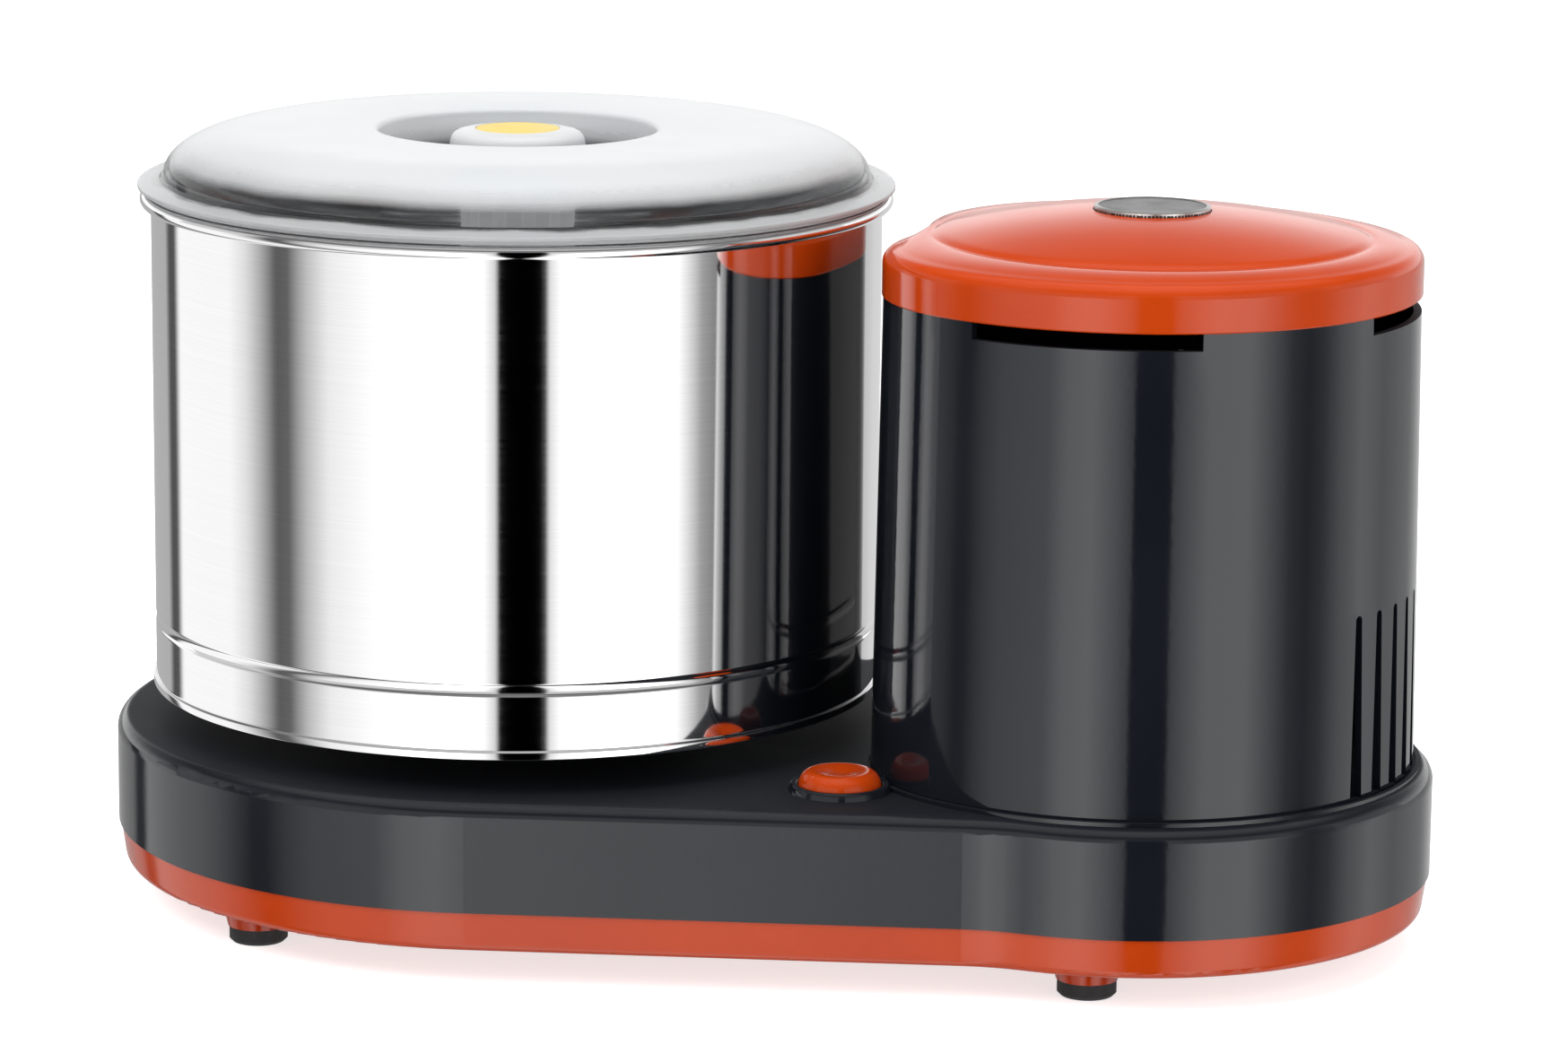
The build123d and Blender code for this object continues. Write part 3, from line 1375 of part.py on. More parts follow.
with BuildPart() as lid:
    with BuildSketch(upright(drum_x)):
        with BuildLine():
            outer_r, outer_low, outer_top = lid_shoulder(0)
            Line((lid_crown_r, outer_top), (lid_well_r, outer_top))
            Line((lid_well_r, outer_top), (lid_well_r - lid_well_draft, well_z))
            Line((lid_well_r - lid_well_draft, well_z), (lid_knob_r, well_z))
            Line((lid_knob_r, well_z), (lid_knob_top_r, outer_top - lid_knob_dome))
            knob_dome(lid_knob_top_r, outer_top)
            Line((0, outer_top), (0, outer_top - lid_wall))
            knob_dome(lid_knob_top_r - lid_wall, outer_top - lid_wall)
            Line(
                (lid_knob_top_r - lid_wall, outer_top - lid_knob_dome - lid_wall),
                (lid_knob_r - lid_wall, well_under_z),
            )
            Line((lid_knob_r - lid_wall, well_under_z), (well_foot_r, well_under_z))
            Line((well_foot_r, well_under_z), (lid_well_r + lid_wall, outer_top - lid_wall))
            Line((lid_well_r + lid_wall, outer_top - lid_wall), (lid_crown_r, outer_top - lid_wall))
            inner_r, inner_low, inner_top = lid_shoulder(lid_wall)
            Line((inner_r, inner_low), (inner_r, lid_z))
            Line((inner_r, lid_z), (lid_flange_r, lid_z))
            Line((lid_flange_r, lid_z), (lid_flange_r, lid_z + lid_flange_t))
            Line((lid_flange_r, lid_z + lid_flange_t), (outer_r, lid_z + lid_flange_t))
            Line((outer_r, lid_z + lid_flange_t), (outer_r, outer_low))
        make_face()
    revolve(axis=upright_axis(drum_x))
save(lid, "lid")
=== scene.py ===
# %% [markdown]
# # A table-top wet grinder
# A steel drum with a granite floor turns on the left, two granite cones roll inside it, and a slate-grey tower
# on the right holds the motor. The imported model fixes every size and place, so this lesson only dresses it:
# it gives each piece the finish that the real one has, and remakes the pieces that need a finer surface.

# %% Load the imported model
import json
from math import atan2, cos, pi, radians, sin, sqrt

import bmesh
import bpy
from mathutils import Matrix, Vector


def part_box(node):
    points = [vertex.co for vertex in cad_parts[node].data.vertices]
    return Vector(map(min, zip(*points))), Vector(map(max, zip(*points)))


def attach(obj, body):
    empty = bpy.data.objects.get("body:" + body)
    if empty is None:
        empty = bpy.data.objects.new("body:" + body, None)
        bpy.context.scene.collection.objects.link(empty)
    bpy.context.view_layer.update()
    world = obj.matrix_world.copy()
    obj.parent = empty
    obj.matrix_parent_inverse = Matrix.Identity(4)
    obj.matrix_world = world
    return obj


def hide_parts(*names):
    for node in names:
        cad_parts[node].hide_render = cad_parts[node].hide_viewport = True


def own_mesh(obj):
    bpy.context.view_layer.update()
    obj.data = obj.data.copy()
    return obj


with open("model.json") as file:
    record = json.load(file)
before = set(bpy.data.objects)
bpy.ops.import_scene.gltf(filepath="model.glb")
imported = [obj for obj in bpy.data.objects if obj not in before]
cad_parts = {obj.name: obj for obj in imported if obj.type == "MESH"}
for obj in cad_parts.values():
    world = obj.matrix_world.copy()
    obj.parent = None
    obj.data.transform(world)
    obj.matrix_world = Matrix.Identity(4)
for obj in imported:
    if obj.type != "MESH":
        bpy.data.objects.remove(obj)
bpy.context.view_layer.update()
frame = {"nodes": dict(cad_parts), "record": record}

record = frame["record"]
body_of_node = {node: body for body, members in record["behaviour"]["bodies"].items() for node in members}

# %% [markdown]
# ## The camera
# A product photograph like this one is taken from a few paces away with a long lens, so upright lines stay
# upright and the far side isn't much smaller than the near side. The camera is placed by the point that it
# looks at, its direction from there and its distance. A long lens on a 36 mm sensor does the rest.

# %% Camera
look_at = Vector((0.0045, 0.0, 0.12035))
camera_azimuth = radians(16.059)
camera_elevation = radians(11.779)
camera_roll = radians(0.575)
camera_distance = 1.7395

towards_camera = Vector((sin(camera_azimuth) * cos(camera_elevation),
                         -cos(camera_azimuth) * cos(camera_elevation), sin(camera_elevation)))
level_right = Vector((cos(camera_azimuth), sin(camera_azimuth), 0))
level_up = towards_camera.cross(level_right)
camera_right = cos(camera_roll) * level_right + sin(camera_roll) * level_up
camera_up = -sin(camera_roll) * level_right + cos(camera_roll) * level_up
camera_data = bpy.data.cameras.new("product camera")
camera_data.lens = 129.8
camera_data.sensor_width = 36
camera_data.clip_end = 100
camera = bpy.data.objects.new("product camera", camera_data)
turn = Matrix((camera_right, camera_up, towards_camera)).transposed().to_4x4()
camera.matrix_world = Matrix.Translation(look_at + camera_distance * towards_camera) @ turn
bpy.context.scene.collection.objects.link(camera)
bpy.context.scene.camera = camera
print("camera at", [round(v, 3) for v in camera.location])

# %% [markdown]
# ## The light tent
# Polished steel has no colour of its own: it shows the room. The room here is a light tent of tall white
# panels with dark gaps between them, which draws the upright light and dark bands on the drum and the tower.
# Real panels could be set up round the object. Here the tent is made in the world, from the direction in which
# a reflected ray leaves, because there each panel is a few pairs of numbers. High up, and behind the object, a
# soft sky takes the place of the panels.

# %% The panels and the sky
panel_stops = [  # degrees from the camera to the right, brightness
    (-180, 0.6), (-142, 0.6), (-138, 0.12), (-133, 0.12), (-129, 1.4), (-99, 1.4), (-91, 1.1), (-84, 0.6),
    (-78, 0.15), (-73, 0.18), (-66, 0.75), (-58, 1.25), (-38, 1.6), (-30, 2.8), (-20, 3.2),
    (-10, 1.9), (-4.2, 1.0), (-3.6, 0.0), (11.2, 0.0), (11.8, 1.0), (27, 3.0), (43, 3.1), (54, 1.5),
    (62, 0.5), (70, 0.22), (78, 0.5), (88, 1.4), (100, 1.9), (115, 1.0), (142, 0.7), (156, 0.9),
]
sky_stops = [  # sine of the height above the horizon, brightness
    (0.0, 1.5), (0.17, 1.5), (0.32, 0.85), (0.39, 0.52), (0.46, 0.38), (0.52, 0.30), (0.59, 0.15), (0.7, 0.25),
    (0.85, 0.8), (1.0, 1.0),
]
limit_stops = [(0.0, 1.0), (0.03, 0.28)]  # sine of the height, the most that a panel gives, as a share of the brightest
high_stops = [(0.3, 0.0), (0.55, 1.0)]  # sine of the height, how much of the sky shows on all sides
behind_angle, behind_sine = radians(120), 0.04  # behind the object the sky comes down to this sine
brightest_panel = max(light for angle, light in panel_stops)
brightest_sky = max(light for sine, light in sky_stops)
print(len(panel_stops), "stops round the object,", len(sky_stops), "stops up the sky")


# %% Helpers for node trees
def put(tree, kind, operation=None, **inputs):
    """A new node, with values or links for its inputs by name, or by number as n0, n1 and so on."""
    made = tree.nodes.new(kind)
    if operation:
        made.operation = operation
    for name, value in inputs.items():
        socket = made.inputs[int(name[1:])] if name[0] == "n" and name[1:].isdigit() else made.inputs[name]
        if isinstance(value, bpy.types.NodeSocket):
            tree.links.new(value, socket)
        else:
            socket.default_value = value
    return made


def sums(tree, operation, first, second=0.0, third=0.0):
    """One Math node, and its result."""
    return put(tree, "ShaderNodeMath", operation, n0=first, n1=second, n2=third).outputs[0]


def ramp(tree, value, stops, interpolation="LINEAR"):
    """A colour ramp over stops, each a place from 0 to 1 and a grey or a colour."""
    made = put(tree, "ShaderNodeValToRGB", Fac=value)
    made.color_ramp.interpolation = interpolation
    while len(made.color_ramp.elements) < len(stops):
        made.color_ramp.elements.new(0.5)
    for element, (place, colour) in zip(made.color_ramp.elements, stops):
        element.position = place
        element.color = (*colour, 1) if isinstance(colour, tuple) else (colour, colour, colour, 1)
    return made.outputs[0]


# %% Light tent
scene = bpy.context.scene
scene.view_settings.view_transform = "Standard"
world = bpy.data.worlds.new("light tent")
world.use_nodes = True
scene.world = world
tent = world.node_tree
tent.nodes.clear()

direction = put(tent, "ShaderNodeTexCoord").outputs["Generated"]
parts = put(tent, "ShaderNodeSeparateXYZ", Vector=direction).outputs
round_to = sums(tent, "ARCTAN2", parts["X"], sums(tent, "MULTIPLY", parts["Y"], -1.0))
from_camera = sums(tent, "WRAP", sums(tent, "SUBTRACT", round_to, camera_azimuth), pi, -pi)
share_round = put(tent, "ShaderNodeMapRange", Value=from_camera, **{"From Min": -pi, "From Max": pi}).outputs[0]
panels = ramp(tent, share_round, [((angle + 180) / 360, light / brightest_panel) for angle, light in panel_stops])
limited = sums(tent, "MINIMUM", panels, ramp(tent, parts["Z"], limit_stops))
panel_light = sums(tent, "MULTIPLY", limited, brightest_panel)
sky = ramp(tent, parts["Z"], [(sine, light / brightest_sky) for sine, light in sky_stops])
sky_light = sums(tent, "MULTIPLY", sky, brightest_sky)
behind = sums(tent, "LESS_THAN", sums(tent, "COSINE", from_camera), cos(behind_angle))
above = sums(tent, "GREATER_THAN", parts["Z"], behind_sine)
sky_share = sums(tent, "MAXIMUM", sums(tent, "MULTIPLY", behind, above), ramp(tent, parts["Z"], high_stops))
panel_part = sums(tent, "MULTIPLY", panel_light, sums(tent, "SUBTRACT", 1.0, sky_share))
tent_light = sums(tent, "MULTIPLY_ADD", sky_share, sky_light, panel_part)
print("light tent, brightest panel", brightest_panel)

# %% [markdown]
# ## What each kind of ray sees
# The world can answer each kind of ray in its own way. The camera sees plain white, and so does a ray that
# leaves through the clear lid. A ray from a matt surface finds soft light on all sides, and more of it where it
# leaves through the lid, because a real lid scatters light down into the drum. Only a mirrored ray sees the
# tent. Once it has been through the lid it finds a dim even light instead, so that the steel below stays calm.

# %% What each kind of ray sees
soft_strength = 0.6
under_lid_extra = 2.2
inside_strength = 0.2

ray = put(tent, "ShaderNodeLightPath").outputs
plain = sums(tent, "MAXIMUM", ray["Is Camera Ray"], ray["Is Transmission Ray"])
soft = sums(tent, "MULTIPLY_ADD", plain, 1 - soft_strength, soft_strength)
bounced = sums(tent, "GREATER_THAN", ray["Diffuse Depth"], 0.5)
under_lid = sums(tent, "MULTIPLY", bounced, ray["Is Transmission Ray"])
soft = sums(tent, "MULTIPLY_ADD", under_lid, under_lid_extra, soft)
through_lid = sums(tent, "GREATER_THAN", ray["Transmission Depth"], 0.5)
mirrored = put(tent, "ShaderNodeMix", n0=through_lid, n2=tent_light, n3=inside_strength).outputs[0]
glossy_part = sums(tent, "MULTIPLY", ray["Is Glossy Ray"], mirrored)
plain_part = sums(tent, "MULTIPLY", sums(tent, "SUBTRACT", 1.0, ray["Is Glossy Ray"]), soft)
background = put(tent, "ShaderNodeBackground", Strength=sums(tent, "ADD", glossy_part, plain_part))
put(tent, "ShaderNodeOutputWorld", Surface=background.outputs[0])
print("world with", len(tent.nodes), "nodes")

# %% [markdown]
# ## Floor and lamps
# A pale matt floor keeps the object's shadow. It glows for the camera alone, which makes it nearly white with
# no more light on the object, and its back is clear, so that the underside can be looked at from below.
#
# Three large soft lamps model the shapes. They are left out of reflections, where the panels do that work, and
# out of what is seen through the lid, where they would show as bright patches.

# %% Floor
floor_side = 8.0
floor_glow = 0.7
floor_looks = {"Base Color": (0.8, 0.8, 0.8, 1), "Roughness": 0.9, "Specular IOR Level": 0.0,
               "Emission Color": (1, 1, 1, 1)}

half = floor_side / 2
floor_mesh = bpy.data.meshes.new("pale floor")
floor_mesh.from_pydata([(-half, -half, 0), (half, -half, 0), (half, half, 0), (-half, half, 0)], [], [(0, 1, 2, 3)])
floor = bpy.data.objects.new("pale_floor", floor_mesh)
scene.collection.objects.link(floor)
floor_finish = bpy.data.materials.new("pale floor")
floor_finish.use_nodes = True
floor_tree = floor_finish.node_tree
floor_shader = floor_tree.nodes["Principled BSDF"]
for socket, value in floor_looks.items():
    floor_shader.inputs[socket].default_value = value
camera_ray = put(floor_tree, "ShaderNodeLightPath").outputs["Is Camera Ray"]
floor_tree.links.new(sums(floor_tree, "MULTIPLY", camera_ray, floor_glow), floor_shader.inputs["Emission Strength"])
is_back = put(floor_tree, "ShaderNodeNewGeometry").outputs["Backfacing"]
clear = put(floor_tree, "ShaderNodeBsdfTransparent").outputs[0]
two_sided = put(floor_tree, "ShaderNodeMixShader", n0=is_back, n1=floor_shader.outputs[0], n2=clear).outputs[0]
floor_tree.links.new(two_sided, floor_tree.nodes["Material Output"].inputs["Surface"])
floor_mesh.materials.append(floor_finish)
floor.visible_glossy = False
print("floor,", floor_side, "m square")

# %% Lamps
lamps = {  # place and side in metres, power in watts
    "key lamp": ((-1.5, -1.7, 2.3), 1.4, 38),
    "fill lamp": ((1.9, -1.5, 1.2), 1.6, 20),
    "top lamp": ((0.1, 0.3, 2.4), 1.8, 38),
}
for name, (place, side, power) in lamps.items():
    data = bpy.data.lights.new(name, "AREA")
    data.shape = "SQUARE"
    data.size = side
    data.energy = power
    lamp = bpy.data.objects.new(name, data)
    lamp.location = place
    lamp.rotation_euler = (look_at - Vector(place)).to_track_quat("-Z", "Y").to_euler()
    lamp.visible_glossy = False
    lamp.visible_transmission = False
    scene.collection.objects.link(lamp)
print(len(lamps), "lamps")

# %% [markdown]
# ## Finishes
# No real surface is one flat colour. Moulded plastic has a faint orange-peel skin, turned steel has rings
# round its axis, granite has grains, and rubber is dusty. Each finish below starts from one Principled shader
# and lets noise in the object's own coordinates vary its colour, its roughness and its height a little. Sizes
# are in metres, as everywhere in this scene.

# %% Helpers for finishes
finishes = {}


def new_finish(name, **sockets):
    """A new material in finishes. Returns its tree, its Principled shader and object coordinates."""
    material = finishes[name] = bpy.data.materials.new(name + " finish")
    material.use_nodes = True
    tree = material.node_tree
    shader = tree.nodes["Principled BSDF"]
    for socket, value in sockets.items():
        shader.inputs[socket.replace("_", " ")].default_value = value
    return tree, shader, put(tree, "ShaderNodeTexCoord").outputs["Object"]


def feed(tree, shader, colour, roughness):
    """Link a colour and a roughness to a shader."""
    tree.links.new(colour, shader.inputs["Base Color"])
    tree.links.new(roughness, shader.inputs["Roughness"])


def noise(tree, vector, scale, detail=2.0, rough=0.5):
    """Soft noise from 0 to 1 with about `scale` lumps in a metre."""
    return put(tree, "ShaderNodeTexNoise", Vector=vector, Scale=scale, Detail=detail, Roughness=rough).outputs[0]


def spread(tree, value, low, high):
    """Noise, which stays between 0.3 and 0.7 or so, spread over a range."""
    limits = {"From Min": 0.3, "From Max": 0.7, "To Min": low, "To Max": high}
    return put(tree, "ShaderNodeMapRange", Value=value, **limits).outputs[0]


def bump(tree, shader, height, distance):
    """Height in metres on the surface, from a value between 0 and 1."""
    made = put(tree, "ShaderNodeBump", Height=height, Distance=distance, Strength=1.0)
    tree.links.new(made.outputs[0], shader.inputs["Normal"])


# %% [markdown]
# ### Moulded plastic
# The shells come out of a polished mould. Their skin mirrors the tent, and a faint waviness in it breaks the
# edges of what it mirrors. The slate tops can be made duller than the sides, so that a level top doesn't mirror
# the sky as a sheet of water does.

# %% Finish: glossy moulded plastic
peel_height = 1.2e-5


def gloss_plastic(name, dark, light, rough, top_rough=0.0, **sockets):
    """Moulded plastic with a hard gloss: slight colour drift, faint orange peel, and duller level tops if wanted."""
    tree, shader, at = new_finish(name, **sockets)
    drift = noise(tree, at, scale=14, detail=3)
    skin = spread(tree, noise(tree, at, scale=60, detail=4), *rough)
    if top_rough:
        up = put(tree, "ShaderNodeSeparateXYZ", Vector=put(tree, "ShaderNodeNewGeometry").outputs["Normal"])
        skin = sums(tree, "ADD", skin, ramp(tree, up.outputs["Z"], [(0.9, 0.0), (0.99, top_rough)]))
    feed(tree, shader, ramp(tree, drift, [(0.35, dark), (0.65, light)]), skin)
    bump(tree, shader, noise(tree, at, scale=420), peel_height)


gloss_plastic("shell_slate", (0.0068, 0.0085, 0.0125), (0.0092, 0.0112, 0.0158), (0.05, 0.09), top_rough=0.55, IOR=1.5)
gloss_plastic("accent_orange", (0.50, 0.045, 0.002), (0.55, 0.054, 0.003), (0.09, 0.14), IOR=1.42)
gloss_plastic("badge_dark", (0.012, 0.011, 0.012), (0.02, 0.018, 0.019), (0.22, 0.34))
gloss_plastic("inner_plastic", (0.74, 0.75, 0.75), (0.82, 0.83, 0.82), (0.3, 0.42))
gloss_plastic("bush_plastic", (0.62, 0.6, 0.55), (0.7, 0.68, 0.63), (0.28, 0.4))
print(len(finishes), "plastic finishes")

# %% [markdown]
# ### The milky lid
# The lid is frosted on top and at its foot, and clear on its side, where the drum's dark inside shows through.
# Two ramps over its height say how clear and how hazy it is. Noise shifts them up and down a little, because
# edges at one level all round would look painted on.

# %% Finish: milky lid
clear_stops = [(0.18, 0.6), (0.21, 1.0), (0.45, 1.0), (0.60, 0.6), (0.8, 0.42), (1.0, 0.38)]
haze_stops = [(0.18, 0.2), (0.21, 0.02), (0.45, 0.02), (0.60, 0.2), (0.8, 0.3), (1.0, 0.3)]
wander = 0.08

tree, shader, at = new_finish("lid_plastic", IOR=1.3)
lid_low, lid_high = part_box("lid")
lid_limits = {"From Min": lid_low.z, "From Max": lid_high.z}
level = put(tree, "ShaderNodeMapRange", Value=put(tree, "ShaderNodeSeparateXYZ", Vector=at).outputs["Z"], **lid_limits)
lowered = sums(tree, "SUBTRACT", level.outputs[0], wander / 2)
wavy = sums(tree, "MULTIPLY_ADD", noise(tree, at, scale=38, detail=4), wander, lowered)
tree.links.new(ramp(tree, wavy, clear_stops), shader.inputs["Transmission Weight"])
milky = ramp(tree, noise(tree, at, scale=16, detail=3), [(0.35, (0.91, 0.935, 0.95)), (0.65, (0.95, 0.96, 0.97))])
frost = spread(tree, noise(tree, at, scale=55, detail=4), 0.0, 0.04)
feed(tree, shader, milky, sums(tree, "ADD", ramp(tree, wavy, haze_stops), frost))
bump(tree, shader, noise(tree, at, scale=130, detail=3), 4e-5)
print("lid from", round(lid_low.z * 1000, 1), "to", round(lid_high.z * 1000, 1), "mm")

# %% [markdown]
# ### Spun and polished steel
# The drum is spun over a form and polished as it turns, which leaves rings too fine to be seen one by one. They
# are noise that depends only on the height and on the distance from the axis. The motor's core is a stack of
# thin sheets, so its rings are dense upwards and nearly absent outwards.


# %% Finish: spun and polished steel
def steel(name, colour, rough, axis, rings_up, rings_out, groove):
    """Steel with so many rings round an upright axis in a metre up and a metre out, and so deep in metres."""
    tree, shader, at = new_finish(name, Metallic=1.0)
    flat = put(tree, "ShaderNodeMapping", Vector=at, Location=(-axis.x, -axis.y, 0), Scale=(1, 1, 0)).outputs[0]
    out = sums(tree, "MULTIPLY", put(tree, "ShaderNodeVectorMath", "LENGTH", n0=flat).outputs["Value"], rings_out)
    up = sums(tree, "MULTIPLY", put(tree, "ShaderNodeSeparateXYZ", Vector=at).outputs["Z"], rings_up)
    rings = noise(tree, put(tree, "ShaderNodeCombineXYZ", X=out, Z=up).outputs[0], scale=1.0, detail=4, rough=0.6)
    darker = tuple(0.94 * c for c in colour)
    feed(tree, shader, ramp(tree, rings, [(0.3, darker), (0.7, colour)]), spread(tree, rings, *rough))
    bump(tree, shader, rings, groove)


drum_axis = sum(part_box("drum_shell"), Vector()) / 2
tower_axis = sum(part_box("motor_pulley"), Vector()) / 2
steel("drum_steel", (0.86, 0.855, 0.86), (0.035, 0.075), drum_axis, 2600, 2600, 2e-7)
steel("shaft_steel", (0.7, 0.7, 0.71), (0.16, 0.3), drum_axis, 3200, 3200, 1.5e-6)
steel("screw_steel", (0.66, 0.66, 0.64), (0.22, 0.38), drum_axis, 900, 900, 3e-6)
steel("stator_steel", (0.42, 0.43, 0.45), (0.3, 0.5), tower_axis, 4000, 20, 4e-5)
print("axes at x", round(drum_axis.x * 1000, 1), "and", round(tower_axis.x * 1000, 1), "mm")

# %% [markdown]
# ### Cast metal, rubber and copper
# These are matt or satin, with grains of about one size. One noise gives the grains, and drives the colour, the
# roughness and the height together, because in a real casting the low spots are the dark and dull ones.


# %% Finishes: cast metal, rubber, copper
def grainy(name, dark, light, grains, rough, height, **sockets):
    """A matt or satin surface with so many grains in a metre, and so high in metres."""
    tree, shader, at = new_finish(name, **sockets)
    grain = noise(tree, at, scale=grains, detail=4, rough=0.6)
    feed(tree, shader, ramp(tree, grain, [(0.3, dark), (0.7, light)]), spread(tree, grain, *rough))
    bump(tree, shader, grain, height)


grainy("cast_metal", (0.42, 0.43, 0.44), (0.56, 0.57, 0.58), 700, (0.38, 0.55), 6e-5, Metallic=1.0)
grainy("foot_rubber", (0.008, 0.008, 0.009), (0.018, 0.018, 0.019), 500, (0.6, 0.8), 5e-5)
grainy("belt_rubber", (0.012, 0.012, 0.012), (0.024, 0.023, 0.022), 900, (0.5, 0.7), 4e-5)
grainy("winding_copper", (0.52, 0.16, 0.06), (0.72, 0.27, 0.11), 260, (0.22, 0.36), 3e-5,
       Metallic=1.0, Coat_Weight=0.6)
print(len(finishes), "finishes so far")

# %% [markdown]
# ### Granite
# Granite is a mosaic of mineral grains, each of one even tone. Noise would blur them, so a Voronoi texture lays
# out the cells. Its random colour picks a tone for each cell from a ramp with hard steps, and soft patches
# darken the stone here and there.

# %% Finish: granite
mineral_tones = [  # where a tone begins, tone
    (0.0, (0.03, 0.03, 0.032)), (0.14, (0.16, 0.16, 0.165)), (0.42, (0.30, 0.295, 0.285)),
    (0.7, (0.42, 0.41, 0.39)), (0.92, (0.62, 0.6, 0.57)),
]
tree, shader, at = new_finish("granite", Specular_IOR_Level=0.4)
cells = put(tree, "ShaderNodeTexVoronoi", Vector=at, Scale=420.0).outputs["Color"]
pick = put(tree, "ShaderNodeSeparateColor", Color=cells).outputs[0]
stone = ramp(tree, pick, mineral_tones, "CONSTANT")
patches = ramp(tree, noise(tree, at, scale=45, detail=4), [(0.3, 0.78), (0.7, 1.0)])
mixed = put(tree, "ShaderNodeMix")
mixed.data_type = "RGBA"
mixed.blend_type = "MULTIPLY"
mixed.inputs[0].default_value = 1.0
tree.links.new(stone, mixed.inputs[6])
tree.links.new(patches, mixed.inputs[7])
feed(tree, shader, mixed.outputs[2], spread(tree, noise(tree, at, scale=900, detail=3), 0.42, 0.66))
bump(tree, shader, noise(tree, at, scale=700, detail=4), 9e-5)
print(len(mineral_tones), "mineral tones")

# %% [markdown]
# ### Dress the imported nodes
# Every node of the imported model says which finish it has. Three look otherwise than the rest of their kind: the
# boss and the hub under the drum are made near-black cast iron as painted shade, for the dark space under the
# drum, and the roller set's knob is a greyer plastic. The knob also has a painted glow: it gives off a little
# light, because it would be too dark behind the milky lid.

# %% Dress the imported nodes
# painted shade: the boss and the hub under the drum get a near-black iron, because the space under the drum lies in
# shade
grainy("cast iron darkened as painted shade", (0.012, 0.012, 0.013), (0.022, 0.022, 0.023), 700, (0.5, 0.7), 6e-5)
# painted glow: the knob gives off a little light, because it would be too dark behind the milky lid
gloss_plastic("knob plastic with painted glow", (0.40, 0.41, 0.41), (0.46, 0.47, 0.46), (0.3, 0.42),
              Emission_Color=(1.0, 1.0, 1.0, 1.0), Emission_Strength=0.22)
special = {"drum_boss": "cast iron darkened as painted shade", "drive_hub": "cast iron darkened as painted shade", "grip_knob": "knob plastic with painted glow"}
for part in record["subparts"]:
    mesh = frame["nodes"][part["node"]].data
    mesh.materials.clear()
    mesh.materials.append(finishes[special.get(part["node"], part["material_slot"])])
print("dressed", len(record["subparts"]), "nodes")

# %% [markdown]
# ## Spun pieces
# The drum and the lid are turned shapes: one section carried round an upright axis. On the drum every facet
# would show, because polished steel mirrors it, so these two are made anew with many more steps round.
# A geometry node tree does the turning. It takes the section as a row of points, lays out a grid with one
# column for each step and one row for each point, and rolls the grid up round the axis. The same tree serves
# every spun piece, and only the points and the number of steps differ.


# %% Helpers for geometry trees
def socket_of(tree, name):
    """The identifier of a tree's input, by its name."""
    return next(item.identifier for item in tree.interface.items_tree
                if item.item_type == "SOCKET" and item.in_out == "INPUT" and item.name == name)


def tree_with(name, **inputs):
    """An empty geometry tree with a Geometry input and output and named inputs."""
    made = bpy.data.node_groups.new(name, "GeometryNodeTree")
    made.interface.new_socket("Geometry", in_out="INPUT", socket_type="NodeSocketGeometry")
    made.interface.new_socket("Geometry", in_out="OUTPUT", socket_type="NodeSocketGeometry")
    for label, kind in inputs.items():
        made.interface.new_socket(label.replace("_", " "), in_out="INPUT", socket_type="NodeSocket" + kind)
    return made, made.nodes.new("NodeGroupInput"), made.nodes.new("NodeGroupOutput")


def end_tree(tree, result, geometry, finish):
    """End a tree in Realize Instances and Set Material."""
    real = put(tree, "GeometryNodeRealizeInstances", Geometry=geometry).outputs[0]
    finished = put(tree, "GeometryNodeSetMaterial", Geometry=real, Material=finish).outputs[0]
    tree.links.new(finished, result.inputs["Geometry"])
    print("tree to", tree.name, "with", len(tree.nodes), "nodes")


# %% The turning tree
turning, given, result = tree_with("turn a section", Steps="Int", Axis="Vector", Finish="Material")
points = put(turning, "GeometryNodeAttributeDomainSize", Geometry=given.outputs["Geometry"]).outputs["Point Count"]
columns = sums(turning, "ADD", given.outputs["Steps"], 1)
grid = put(turning, "GeometryNodeMeshGrid", **{"Vertices X": columns, "Vertices Y": points}).outputs["Mesh"]

index = put(turning, "GeometryNodeInputIndex").outputs[0]
column = sums(turning, "FLOOR", sums(turning, "DIVIDE", index, points))
row = sums(turning, "FLOORED_MODULO", index, points)
sample = turning.nodes.new("GeometryNodeSampleIndex")
sample.data_type = "FLOAT_VECTOR"
turning.links.new(given.outputs["Geometry"], sample.inputs["Geometry"])
turning.links.new(put(turning, "GeometryNodeInputPosition").outputs[0], sample.inputs["Value"])
turning.links.new(row, sample.inputs["Index"])
section = put(turning, "ShaderNodeSeparateXYZ", Vector=sample.outputs[0]).outputs

angle = sums(turning, "MULTIPLY", sums(turning, "DIVIDE", column, given.outputs["Steps"]), 2 * pi)
across = sums(turning, "MULTIPLY", section["X"], sums(turning, "COSINE", angle))
deep = sums(turning, "MULTIPLY", section["X"], sums(turning, "SINE", angle))
rolled = put(turning, "ShaderNodeCombineXYZ", X=across, Y=deep, Z=section["Z"]).outputs[0]
moved = put(turning, "ShaderNodeVectorMath", "ADD", n0=rolled, n1=given.outputs["Axis"]).outputs[0]
placed = put(turning, "GeometryNodeSetPosition", Geometry=grid, Position=moved).outputs[0]
welded = put(turning, "GeometryNodeMergeByDistance", Geometry=placed, Distance=1e-6).outputs[0]
end_tree(turning, result, welded, given.outputs["Finish"])


# %% Sections with rounded corners
def arc(centre, radius, first, last, steps):
    """Points in mm on an arc between two angles in radians, both ends included."""
    angles = [first + (last - first) * step / steps for step in range(steps + 1)]
    return [(centre[0] + radius * cos(a), centre[1] + radius * sin(a)) for a in angles]


